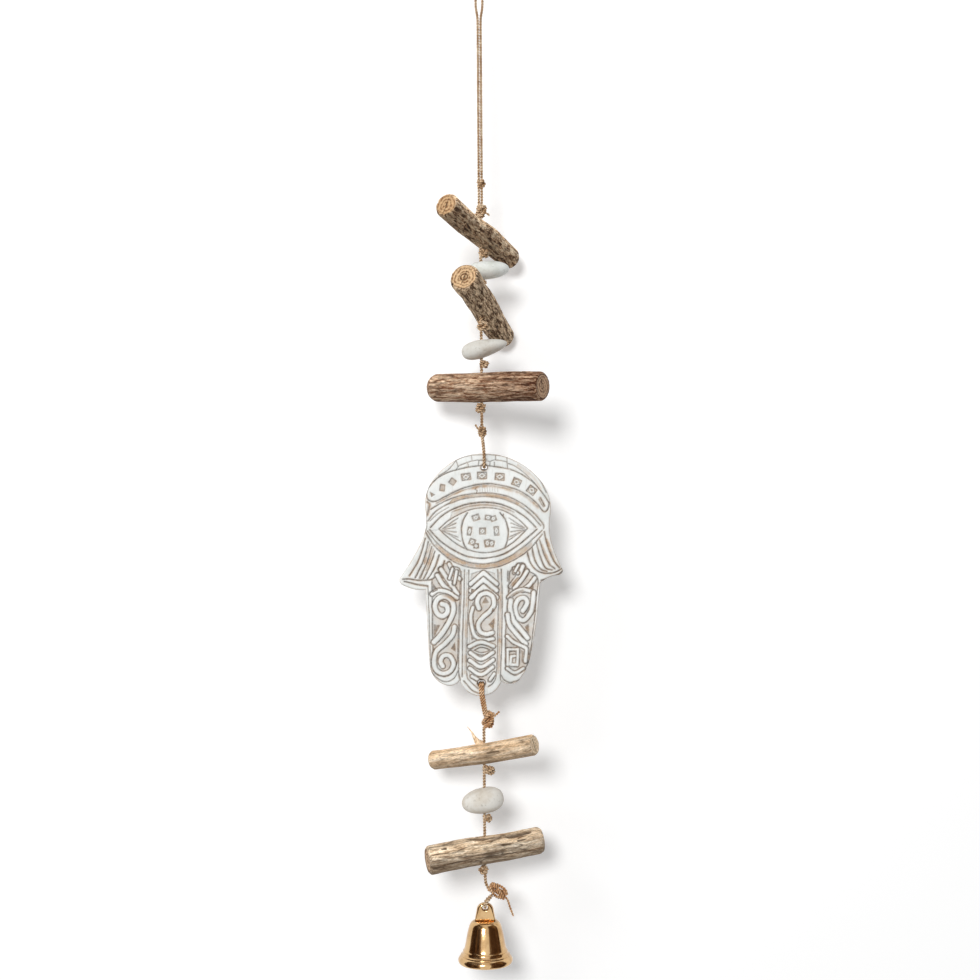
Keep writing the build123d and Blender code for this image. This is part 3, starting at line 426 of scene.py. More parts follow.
twine = twine_material(
    "natural_twine", (0.42, 0.25, 0.13), (0.68, 0.47, 0.29), (0.95, 0.78, 0.58),
)
orange_twine = twine_material(
    "orange_twine", (0.52, 0.26, 0.12), (0.78, 0.47, 0.25), (0.97, 0.73, 0.50),
)


# Cords

SHOWN_CORD = 2.1  # its mesh, whose two plies leave valleys between them
LOOP_CORD = 1.8
KNOT_CORD = 2.0
TAIL_CORD = 1.4
SPREAD = 0.9  # how far a doubled cord's strands lie from its middle
STRAND_OUT, STRAND_IN = 7.1, 4.7  # a loop's strand outside the hand and inside its hole
LAY = 3.6  # length of one full turn of the plies
STEP = 0.28  # between rings of a cord's mesh
PLY_SIDES = 8


def nurbs_line(points):
    """Points along the smooth NURBS line that has the given control points."""
    data = bpy.data.curves.new("route", "CURVE")
    data.dimensions = "3D"
    data.resolution_u = 24
    spline = data.splines.new("NURBS")
    spline.points.add(len(points) - 1)
    for place, point in zip(spline.points, points):
        place.co = (*[value * MM for value in point], 1)
    spline.order_u = 3
    spline.use_endpoint_u = True
    curve = bpy.data.objects.new("route", data)
    bpy.context.scene.collection.objects.link(curve)
    bpy.context.view_layer.update()
    mesh = bpy.data.meshes.new_from_object(curve)
    line = np.array([vertex.co for vertex in mesh.vertices]) / MM
    bpy.data.objects.remove(curve)
    bpy.data.meshes.remove(mesh)
    return line


def even_steps(line, step):
    """The same line with points at even steps along it, and how far along each one is."""
    line = np.asarray(line, float)
    lengths = np.linalg.norm(np.diff(line, axis=0), axis=1)
    line = line[np.concatenate([[True], lengths > 1e-6])]
    run = np.concatenate([[0], np.cumsum(np.linalg.norm(np.diff(line, axis=0), axis=1))])
    count = max(2, int(round(run[-1] / step)) + 1)
    places = np.linspace(0, run[-1], count)
    return np.stack([np.interp(places, run, line[:, k]) for k in range(3)], 1), places


def frames_along(line, closed=False):
    """Tangents and two side directions along a line, without sudden twist."""
    if closed:
        tangents = np.roll(line, -1, 0) - np.roll(line, 1, 0)
    else:
        tangents = np.gradient(line, axis=0)
    tangents /= np.linalg.norm(tangents, axis=1)[:, None]
    side = np.cross(tangents[0], (0.31, 0.95, 0.11))
    side /= np.linalg.norm(side)
    sides = []
    for tangent in tangents:
        side = side - tangent * side.dot(tangent)
        side /= np.linalg.norm(side)
        sides.append(side)
    sides = np.array(sides)
    return tangents, sides, np.cross(tangents, sides)


def rings_along(line, radii, sides, ups, around):
    """Rings of points round a line; radii is one radius for each point of the line."""
    angles = np.arange(around)[:, None] * FULL_TURN / around
    rings = sides[:, None] * np.cos(angles) + ups[:, None] * np.sin(angles)
    return (line[:, None] + radii[:, None, None] * rings).reshape(-1, 3)


def twisted_tube(line, places, diameter, seed, pitch=LAY, closed=False):
    """Points, faces and painted valley shade of a cord laid up from two twisted plies: the colour
    darkens where the plies meet.
    """
    tangents, sides, ups = frames_along(line, closed)
    angles = np.arange(PLY_SIDES) * FULL_TURN / PLY_SIDES
    ply_valley_shades = np.maximum(0.0, 0.35 - 0.5 * np.cos(angles))
    plies = []
    for ply in range(2):
        turn = (FULL_TURN * places / pitch + math.pi * ply)[:, None]
        out = sides * np.cos(turn) + ups * np.sin(turn)
        radii = diameter * 0.30 * (1 + 0.08 * noise(line + 31.7 * ply, 1.1, seed))
        points = rings_along(
            line + out * diameter * 0.22, radii, out, np.cross(tangents, out), PLY_SIDES,
        )
        faces = grid_faces(len(line), PLY_SIDES, closed_rows=closed)
        if not closed:
            faces += tube_caps(len(line), PLY_SIDES)
        plies.append((points, faces, np.tile(ply_valley_shades, len(line))))
    return join(*plies)


def fibres_along(line, diameter, count, seed):
    """Points, faces and painted valley shade, none here, of fine loose fibres standing off a cord.
    """
    rng = np.random.default_rng(seed)
    tangents, sides, ups = frames_along(line)
    wide = 0.05
    points, faces = [], []
    for _ in range(count):
        k = int(rng.integers(2, len(line) - 2))
        angle = rng.uniform(0, FULL_TURN)
        out = sides[k] * math.cos(angle) + ups[k] * math.sin(angle)
        lean = tangents[k] * rng.choice([-1, 1]) * rng.uniform(0.6, 1.6)
        start = line[k] + out * diameter * 0.36
        length = rng.uniform(0.5, 1.5)
        heading = out * rng.uniform(0.35, 1.0) + lean
        heading /= np.linalg.norm(heading)
        curl = rng.normal(0, 0.25, 3)
        faces += shifted(grid_faces(3, 3), len(points))
        for t, taper in ((0, 1), (0.5, 0.8), (1.0, 0.35)):
            place = start + heading * length * t + curl * length * t * t
            for a in (0, FULL_TURN / 3, FULL_TURN * 2 / 3):
                round_fibre = out * math.cos(a) + np.cross(heading, out) * math.sin(a)
                points.append(place + wide * taper * round_fibre)
    return points, faces, np.zeros(len(points))


def join(*parts):
    """Joins parts of points, faces and values at the points into one."""
    points, faces, values = [], [], []
    for more_points, more_faces, more_values in parts:
        faces += shifted(more_faces, len(points))
        points += list(more_points)
        values += list(more_values)
    return points, faces, values


def make_cord(name, node_name, route, fibres, seed, material=twine, shown=SHOWN_CORD):
    """Lays twisted cord along a route."""
    curve = nurbs_line(route)
    line, places = even_steps(curve, STEP)
    points, faces, ply_valley_shade = join(
        twisted_tube(line, places, shown, seed), fibres_along(line, shown, fibres, seed),
    )
    piece = make_piece(name, points, faces, material, node_name, floats={"ply_valley_shade": ply_valley_shade})


def there_and_back(leg, flip):
    """A route out along a leg and back along its mirror image."""
    return leg + [tuple(v * sign for v, sign in zip(point, flip)) for point in reversed(leg)]


def strand_route(hole_x, strand_z, knot_x, knot_z, clear, offset=0.0):
    """One strand from a knot down the front, through a hole in the hand and up the back."""
    up = 1 if knot_z > strand_z else -1
    return there_and_back([
        (knot_x + offset, -SPREAD, knot_z + up * 2),
        (hole_x + offset, -STRAND_OUT, strand_z + up * clear),
        (hole_x + offset, -STRAND_OUT, strand_z + up * 2.4),
        (hole_x + offset, -STRAND_OUT, strand_z),
        (hole_x + offset, -STRAND_IN, strand_z),
    ], (1, -1, 1))


make_cord("hanging_loop_twine", "hanging_loop", there_and_back([
    (-0.9, 0, -132.2), (-0.9, 0, -20), (-0.9, 0, -11), (-2.1, 0, -5), (-2.1, 0, 0),
    (-2.1, 0, 2.1),
], (-1, 1, 1)), 150, 3, shown=LOOP_CORD)
make_cord(
    "upper_twine", "upper_cord", [(0, 0, -136.2), (0, 0, -200), (0, 0, -266.3)], 60, 5,
)
make_cord(
    "hand_loop_twine", "hand_loop", strand_route(1.258, -291.76, 0, -273.7, 10.6),
    30, 7,
)
for offset, part_name in ((-0.7, "lower_loop_left_twine"), (0.7, "lower_loop_right_twine")):
    make_cord(
        part_name, "lower_loop", strand_route(-1.292, -427.546, 1.2, -445, 6.5, offset),
        24, 9, material=orange_twine,
    )
make_cord("lower_twine", "lower_cord", [
    (0, 0, -454.4), (0, 0, -520), (0, 0, -550.6), (1.4, 0, -554.2), (3.53, 0, -557.2),
], 60, 11)
make_cord("bell_twine", "bell_strands", there_and_back([
    (4.2, -0.9, -559.7), (2.1, -3.6, -561.9), (0, -3.6, -564.6), (0, -3.6, -566.3),
    (0, -1.9, -566.3),
], (1, -1, 1)), 12, 13)


# Knots

def knot_path(centre, width, height, windings, waves, tilt, spin, slope):
    """A closed winding path: a torus knot drawn out to the knot's width and height."""
    t = np.linspace(0, FULL_TURN, 40 * windings, endpoint=False)
    reach = width / 2 - KNOT_CORD / 2
    tube = reach * 0.31
    across = reach - tube + tube * np.cos(waves * t)
    path = np.stack([
        across * np.cos(windings * t), across * np.sin(windings * t),
        (height / 2 - KNOT_CORD / 2) * np.sin(waves * t),
    ], 1)
    turn = (
        Matrix.Rotation(slope, 3, "Y") @ Matrix.Rotation(spin, 3, "Z")
        @ Matrix.Rotation(tilt, 3, "X")
    )
    return path @ np.array(turn).T + np.array(centre)


def make_knot(node_name, x, drop, width, height, windings, waves, tilt, spin, seed, tails,
              slope=0.0, material=twine):
    """A knot of closed windings, x aside and with its top at a drop, and its tails."""
    path = knot_path(
        (x, 0, -drop - height / 2), width, height, windings, waves, tilt, spin, slope,
    )
    line, places = even_steps(np.vstack([path, path[:1]]), STEP)
    line, places = line[:-1], places[:-1]
    pitch = (places[-1] + STEP) / round(places[-1] / LAY)
    parts = [twisted_tube(line, places, KNOT_CORD, seed, pitch, closed=True)]
    for k, tail in enumerate(tails):
        tail_line, tail_places = even_steps(nurbs_line(tail), STEP)
        parts.append(twisted_tube(tail_line, tail_places, TAIL_CORD, seed + k))
        parts.append(fibres_along(tail_line, TAIL_CORD, 14, seed + k))
    parts.append(fibres_along(line, KNOT_CORD, 22, seed + 40))
    points, faces, ply_valley_shade = join(*parts)
    make_piece(
        node_name + "_twine", points, faces, material, node_name, floats={"ply_valley_shade": ply_valley_shade},
    )


# Each knot: middle across and drop of its top, width, height, windings, waves, tilt and turn
KNOTS = {
    "knot_1": (0.4, 111.9, 6.4, 5.6, 2, 3, 0.2, 0.3),
    "knot_2": (0.3, 127.6, 7.4, 8.6, 3, 4, 0.3, 1.0),
    "knot_3": (1.9, 155.6, 7.4, 5.8, 2, 3, 0.2, 0.8),
    "knot_4": (1.3, 174.7, 5.4, 3.6, 2, 3, 0.10, 2.0),
    "knot_5": (0.95, 200.5, 8.0, 6.4, 3, 4, 0.25, 0.5),
    "knot_6": (1.8, 225.2, 6.6, 5.0, 2, 3, 0.25, 1.4),
    "knot_7": (-0.6, 251.8, 7.2, 6.6, 3, 4, 0.2, 2.2),
    "knot_8": (0.2, 266.3, 6.0, 7.0, 3, 4, 0.25, 0.1),
    "knot_10": (3.0, 478.6, 8.5, 5.6, 3, 4, 0.25, 1.7),
    "knot_11": (1.7, 508.9, 6.6, 5.0, 2, 3, 0.2, 0.2),
    "knot_12": (-0.8, 541.2, 7.0, 5.2, 2, 3, 0.22, 1.1),
}
TAILS = {
    "knot_2": [[(1.5, -1.4, -132.6), (4.0, -1.6, -133.4), (5.6, -1.2, -135.0)]],
    "knot_8": [[(-1.5, -1.6, -269.0), (-3.2, -1.8, -267.4), (-4.0, -1.6, -265.4)]],
}
for knot_number, (knot_name, values) in enumerate(KNOTS.items()):
    make_knot(knot_name, *values, 60 + knot_number, TAILS.get(knot_name, ()))
make_knot("knot_9", 2.8, 444.3, 8.6, 10.8, 3, 4, 0.3, 0.6, 81, [
    [(2.4, -1.2, -450.4), (6.0, -0.9, -448.4), (9.8, -0.2, -444.7)],
], material=orange_twine)
make_knot("bell_knot", 8.0, 550.6, 8.8, 12.6, 3, 4, 0.1, 0.4, 91, [
    [(11.0, -1.0, -559.0), (14.0, -0.6, -561.4), (15.4, 0, -567.0), (17.6, 0, -572.7)],
], slope=math.radians(-58), material=orange_twine)


# Driftwood

STICK_AROUND = 150
STICK_STEP = 0.5
STICK_CAPS = np.array([0.0, 0.12, 0.3, 0.5, 0.7, 0.86, 0.95])
EDGE_WIDTH, EDGE_WORN = 1.1, 0.035


def furrows(here, furrow, lump, seed):
    """How far furrows, lumps and roughness sink points of a stick, and how deep the furrows cut,
    which the wood's colour darkens as painted shade.
    """
    deep, wide, long = furrow
    waves = here * np.array([1 / long, 1 / wide, 1 / wide])
    bent = waves + 0.35 * np.stack(
        [noise(here, size, seed + more) for size, more in ((9.0, 5), (7.0, 6), (7.0, 7))], 1,
    )
    cut = np.clip(1 - np.abs(noise(bent, 1.0, seed)) / 0.16, 0, 1) ** 1.4
    second = np.abs(noise(bent * 1.9 + 7.0, 1.0, seed + 1))
    cut = np.maximum(cut, 0.6 * np.clip(1 - second / 0.12, 0, 1) ** 1.4)
    shallow = layered_noise(here * np.array([0.4, 1, 1]), 3.2, 3, seed + 9)
    sunk = deep * cut + lump * (0.5 - 0.5 * layered_noise(here, 9.0, 2, seed + 11))
    return sunk + 0.22 * (0.5 - 0.5 * shallow), cut


def split_gap(split, place, angles, size, seed):
    """How open a crack along a stick is at each angle round one ring of it."""
    start, end, angle, width, _ = split
    inside = (place - start) / (end - start)
    taper = max(0.0, min(1.0, inside / 0.15, (1 - inside) / 0.15)) ** 0.5
    wander = 0.5 * noise(np.array([[place, 0, 0]]), 4.0, seed + 21)[0]
    away = (angles - (math.pi / 2 + math.radians(angle)) + math.pi) % FULL_TURN - math.pi
    away = np.abs(np.abs(away) * size - wander)
    return np.clip(1 - away / (width / 2 * max(taper, 0.15)), 0, 1) * taper


def make_stick(node_name, kind, drop, reach, thickness, turn, slope, ring_shares, material,
               furrow, seed, lump=0.4, splits=(), end_rough=0.5):
    """A length of weathered wood. Each row of ring_shares is a share of the length and there
    the size, the shift aside and the lift, in radii. furrow is how deep, how wide and how long
    the furrows are; splits are (start, end, angle, width, depth) of cracks along it, angles
    from the top towards the viewer."""
    radius = thickness / 2
    length = sum(reach)
    turn, slope = math.radians(turn), math.radians(slope)
    along = np.array([
        math.cos(slope) * math.cos(turn), math.cos(slope) * math.sin(turn), math.sin(slope),
    ])
    side = np.array([-math.sin(turn), math.cos(turn), 0.0])
    up = np.cross(along, side)
    table = np.array(ring_shares)
    rows = [(0.0, share, True) for share in STICK_CAPS]
    rows += [(place, 1.0, False) for place in np.linspace(0, length, int(length / STICK_STEP) + 1)]
    rows += [(length, share, True) for share in STICK_CAPS[::-1]]
    angles = np.arange(STICK_AROUND) * FULL_TURN / STICK_AROUND
    cosines, sines = np.cos(angles), np.sin(angles)
    local, depth = [], []
    for place, share, is_end in rows:
        size, aside, lift = (
            np.interp(place / length, table[:, 0], table[:, k]) * radius for k in (1, 2, 3)
        )
        here = np.stack([np.full(STICK_AROUND, place), cosines * size, sines * size], 1)
        sunk, cut = furrows(here, furrow, lump, seed)
        reach_now = size * 0.985 - sunk
        x = np.full(STICK_AROUND, place)
        if is_end:
            reach_now = reach_now * share * (1 - EDGE_WORN)
        else:
            for split in splits:
                if -0.02 < (place - split[0]) / (split[1] - split[0]) < 1.02:
                    gap = split_gap(split, place, angles, size, seed)
                    reach_now -= split[-1] * gap
                    # the crack is marked for the same painted shade as the furrows
                    cut = np.maximum(cut, np.clip(gap * 1.6, 0, 1))
            edge = min(place, length - place)
            if edge < EDGE_WIDTH:
                reach_now *= 1 - EDGE_WORN * (1 - edge / EDGE_WIDTH) ** 2
        y, z = cosines * reach_now + aside, sines * reach_now + lift
        if is_end:
            hollow = 0.55 + 0.45 * layered_noise(np.stack([x, y, z], 1), 2.2, 3, seed + 31)
            hollow *= end_rough * min(1.0, (1 - share) * 4)
            x = x + (hollow if place == 0 else -hollow)
        middle = (place / length - 0.5) * 2
        y = y + 0.2 * (1 - middle * middle) * math.sin(place / 11.0 + seed)
        local.append(np.stack([x, y, z], 1))
        depth.append(cut * (not is_end))
    local = np.concatenate(local)
    points = (
        np.outer(local[:, 0] - reach[0], along) + np.outer(local[:, 1], side)
        + np.outer(local[:, 2], up) + np.array([0, 0, -drop])
    )
    ends = np.repeat([float(is_end) for _, _, is_end in rows], STICK_AROUND)
    piece = make_piece(
        f"{node_name}_{kind}", points, grid_faces(len(rows), STICK_AROUND), material, node_name,
        floats={"furrow": np.concatenate(depth), "end": ends}, vectors={"stick": local},
    )
    weld(piece, 1e-7)
    return piece


# top in each wood below sets how strongly its upper side is painted lighter and its lower side
# darker, as painted light
bark_grey = wood_material(
    "driftwood_furrowed", (0.14, 0.078, 0.044), (0.76, 0.53, 0.34), (1.0, 0.84, 0.64),
    (0.26, 0.12, 0.05), (0.53, 0.34, 0.18), 1.1, long=0.15, top=0.9, furrow=0.80, spread=0.06,
)
bark_rough = wood_material(
    "driftwood_rough", (0.13, 0.075, 0.042), (0.58, 0.41, 0.27), (1.0, 0.80, 0.58),
    (0.24, 0.11, 0.045), (0.62, 0.42, 0.24), 1.1, long=0.13, top=0.35, hoop=2.3, spread=0.06,
)
bark_red = wood_material(
    "driftwood_red", (0.17, 0.068, 0.034), (0.48, 0.31, 0.20), (0.76, 0.58, 0.43),
    (0.16, 0.08, 0.045), (0.46, 0.30, 0.19), 1.3, long=0.08, top=0.25, hoop=7.4, spread=0.09,
    dusk=44.0,
)
wood_pale = wood_material(
    "driftwood_pale", (0.56, 0.36, 0.20), (0.80, 0.61, 0.42), (0.96, 0.85, 0.70),
    (0.50, 0.33, 0.18), (0.74, 0.58, 0.40), 0.8, long=0.03, top=0.5, rough=0.7, furrow=0.8,
    spread=0.19,
)
wood_grey = wood_material(
    "driftwood_grey", (0.26, 0.165, 0.10), (0.66, 0.53, 0.39), (0.92, 0.83, 0.70),
    (0.20, 0.09, 0.045), (0.58, 0.40, 0.25), 1.0, long=0.08, top=0.65, hoop=6.9,
)

stick_1 = make_stick(
    "driftwood_1", "bark", 146.3, (42.8, 40.4), 16.4, 59.9, -16.3,
    [(0, 0.90, 0, 0.02), (0.02, 1, 0, 0.02), (0.30, 0.97, 0.06, -0.03), (0.62, 1.02, -0.05, 0.03),
     (0.97, 0.93, 0, 0), (1, 0.78, 0, 0)],
    bark_grey, (0.75, 1.5, 5.0), 101,
)
stick_2 = make_stick(
    "driftwood_2", "bark", 189.6, (33.4, 48.0), 18.6, 70.8, -22.6,
    [(0, 0.98, 0, 0), (0.03, 1.08, 0, 0), (0.20, 0.97, -0.03, 0.02), (0.42, 1, -0.06, 0.04),
     (0.70, 0.96, 0.04, -0.04), (0.96, 0.90, 0, 0), (1, 0.72, 0, 0)],
    bark_rough, (0.7, 1.5, 5.0), 113, lump=0.6,
)
stick_3 = make_stick(
    "driftwood_3", "bark", 242.0, (37.2, 44.7), 19.4, -33.0, -1.5,
    [(0, 0.76, 0, 0), (0.04, 0.95, 0, 0), (0.40, 1, 0.03, -0.03), (0.75, 1, 0, 0.02),
     (0.98, 0.98, 0, 0), (1, 0.88, 0, 0)],
    bark_red, (0.45, 1.6, 12.0), 127, lump=0.25,
    splits=[(50, 72, 30, 1.5, 0.9), (44, 66, 62, 1.3, 0.8), (54, 78, 88, 1.1, 0.7)],
)
stick_4 = make_stick(
    "driftwood_4", "wood", 470.8, (38.1, 36.2), 13.8, -28.0, 11.9,
    [(0, 0.80, 0, 0.10), (0.02, 0.92, 0, 0.10), (0.25, 0.94, 0.05, 0), (0.55, 1, -0.04, -0.04),
     (0.98, 1, 0, 0.04), (1, 0.90, 0, 0.04)],
    wood_pale, (0.18, 2.2, 30.0), 131, lump=0.35, end_rough=0.3,
    splits=[(43, 53, 88, 1.5, 1.2), (49, 58, 58, 1.3, 1.0), (30, 36, 96, 0.8, 0.6),
            (6, 30, 70, 0.6, 0.35)],
)
stick_5 = make_stick(
    "driftwood_5", "wood", 531.4, (36.9, 37.3), 18.6, 15.0, 6.0,
    [(0, 0.88, 0, -0.02), (0.02, 1.02, 0, -0.02), (0.35, 1, 0.05, 0.03), (0.70, 0.96, 0, -0.03),
     (0.97, 0.95, 0, 0.03), (1, 0.84, 0, 0.03)],
    wood_grey, (0.35, 2.4, 26.0), 139,
    splits=[(49, 68, 24, 6.0, 2.6), (46, 53, 66, 2.0, 1.4), (56, 64, 60, 1.0, 0.9),
            (8, 12, 40, 2.6, 1.2), (10, 60, 108, 1.2, 0.7), (20, 44, 92, 0.9, 0.5)],
)
for stick, drop in (
    (stick_1, 146.3), (stick_2, 189.6), (stick_3, 242.0), (stick_4, 470.8), (stick_5, 531.4),
):
    drill(stick, drop, 44)


# Pebbles

PEBBLE_ROWS, PEBBLE_AROUND = 90, 140
PEBBLE_POWER = 2.2  # 2 is an ellipsoid; more is squarer
PEBBLE_ROUGH = 0.35


def make_pebble(node_name, drop, size, shift, slope, thin_end, seed, look_name, *colours):
    """A water-worn stone, its long axis sloping and the cord's hole drilled upright."""
    latitude = math.pi * np.arange(PEBBLE_ROWS + 1)[:, None] / PEBBLE_ROWS
    longitude = FULL_TURN * np.arange(PEBBLE_AROUND) / PEBBLE_AROUND
    x, y, z = np.broadcast_arrays(
        -np.cos(latitude), np.sin(latitude) * np.cos(longitude),
        np.sin(latitude) * np.sin(longitude),
    )
    grow = sum(np.abs(part) ** PEBBLE_POWER for part in (x, y, z)) ** (-1 / PEBBLE_POWER) / 2
    points = np.stack([
        x * grow * size[0], y * grow * size[1], z * grow * size[2] * (1 - thin_end * (1 + x) / 2),
    ], -1).reshape(-1, 3)
    outward = points / np.linalg.norm(points, axis=1)[:, None]
    lumps = layered_noise(points, 8.0, 3, seed)
    points = points - outward * (PEBBLE_ROUGH * (0.6 - 0.6 * lumps))[:, None]
    turn = np.array(Matrix.Rotation(-math.radians(slope), 3, "Y"))
    piece = make_piece(
        node_name + "_stone", points @ turn.T + np.array([shift, 0, -drop]),
        grid_faces(PEBBLE_ROWS + 1, PEBBLE_AROUND), stone_material(look_name, *colours), node_name,
    )
    weld(piece, 1e-7)
    drill(piece, drop, 40)


make_pebble(
    "pebble_1", 168.89, (27, 21, 12.8), 4.4, 4, 0.2, 151,
    "pebble_green_white", (0.80, 0.82, 0.79), (0.62, 0.64, 0.58), (0.88, 0.89, 0.87),
)
make_pebble(
    "pebble_2", 217.66, (29.5, 19, 15), 1.9, 13, 0.5, 157,
    "pebble_cream", (0.68, 0.665, 0.615), (0.54, 0.49, 0.42), (0.78, 0.76, 0.72),
)
make_pebble(
    "pebble_3", 500.37, (27, 21, 14.2), -1.0, 10, -0.25, 163,
    "pebble_off_white", (0.76, 0.735, 0.68), (0.62, 0.56, 0.47), (0.86, 0.84, 0.80),
)


# The hand: outline, then the carving as depths over a fine grid

HAND_TOP = 283.5
HAND_WIDE, HAND_TALL, HAND_THICK, HAND_SHIFT = 102.0, 151.0, 12.0, 3.4
RIGHT_SIDE = [
    (0.193, 0.039), (0.332, 0.122), (0.381, 0.260), (0.393, 0.380), (0.452, 0.478),
    (0.431, 0.503), (0.316, 0.536),
]
LEFT_SIDE = [
    (-0.206, 0.031), (-0.340, 0.114), (-0.380, 0.235), (-0.412, 0.370), (-0.536, 0.507),
    (-0.526, 0.539), (-0.383, 0.561),
]
RIGHT_FINGER = [(0.252, 0.843), (0.187, 0.932), (0.077, 0.938)]
LEFT_FINGER = [(-0.361, 0.870), (-0.261, 0.955), (-0.178, 0.934)]
# each hole: middle, radius, and how low and how high its far end reaches
TOP_HOLE = (1.258, -292.25, 1.68, -0.85, 1.68)
BOTTOM_HOLE = (-1.292, -426.346, 2.3, -2.3, 0.5)
OUTLINE_STEP = 0.3


def hand_place(share):
    return np.array([HAND_SHIFT + share[0] * HAND_WIDE, -HAND_TOP - share[1] * HAND_TALL])


def turned(vector, angle):
    cosine, sine = math.cos(angle), math.sin(angle)
    return np.array([vector[0] * cosine - vector[1] * sine, vector[0] * sine + vector[1] * cosine])


def chain(start, heading, ends):
    """Points along arcs from place to place, each leaving with the heading of the last."""
    points = []
    here = hand_place(start)
    for end in map(hand_place, ends):
        heading = np.asarray(heading, float) / np.linalg.norm(heading)
        length = np.linalg.norm(end - here)
        chord = (end - here) / length
        half = math.atan2(heading[0] * chord[1] - heading[1] * chord[0], heading.dot(chord))
        count = max(3, int(length / OUTLINE_STEP))
        for angle in half * (np.arange(count) / count):
            points.append(here + length * math.sin(angle) / math.sin(half) * turned(heading, angle))
        here, heading = end, turned(heading, 2 * half)
    return points


def hand_outline():
    top = (-0.028, 0)
    right = chain(top, (1, 0), RIGHT_SIDE) + chain(RIGHT_SIDE[-1], (-0.06, -1), RIGHT_FINGER)
    left = chain(top, (-1, 0), LEFT_SIDE) + chain(LEFT_SIDE[-1], (0.033, -1), LEFT_FINGER)
    # the circle through the middle finger's two webs and its tip
    corners = [hand_place(share) for share in (RIGHT_FINGER[-1], (-0.046, 1.0), LEFT_FINGER[-1])]
    a, b, c = corners
    weights = np.array([b - c, c - a, a - b])
    lengths = np.array([p.dot(p) for p in corners])
    double = 2 * (weights[:, 1] * [p[0] for p in corners]).sum()
    centre = np.array([(lengths * weights[:, 1]).sum(), -(lengths * weights[:, 0]).sum()]) / double
    radius = np.linalg.norm(a - centre)
    first, last = (math.atan2(*(p - centre)[::-1]) for p in (a, c))
    while last > first:
        last -= FULL_TURN
    angles = np.linspace(first, last, int(radius * (first - last) / OUTLINE_STEP))
    tip = [centre + radius * np.array([math.cos(t), math.sin(t)]) for t in angles[:-1]]
    return np.array(right + tip + [c] + left[:0:-1])


GRID = 0.32
DRAWN = 0.1037
DRAWN_TOP = (533.7, 81.4)
FAR = 9  # beyond this many widths from a line nothing is cut


def drawn(text):
    """Points of the carving's drawing from a text of x,y pairs."""
    return [tuple(float(value) for value in pair.split(",")) for pair in text.split()]


def from_drawing(points):
    """Places on the hand, in millimetres, of points of the carving's drawing."""
    points = np.array(drawn(points) if isinstance(points, str) else points, float)
    return np.stack([
        HAND_SHIFT + (points[:, 0] - DRAWN_TOP[0]) * DRAWN,
        -HAND_TOP - (points[:, 1] - DRAWN_TOP[1]) * DRAWN,
    ], 1)


def fading(away, width, power):
    return np.exp(-(np.minimum(away, FAR) / width) ** power)


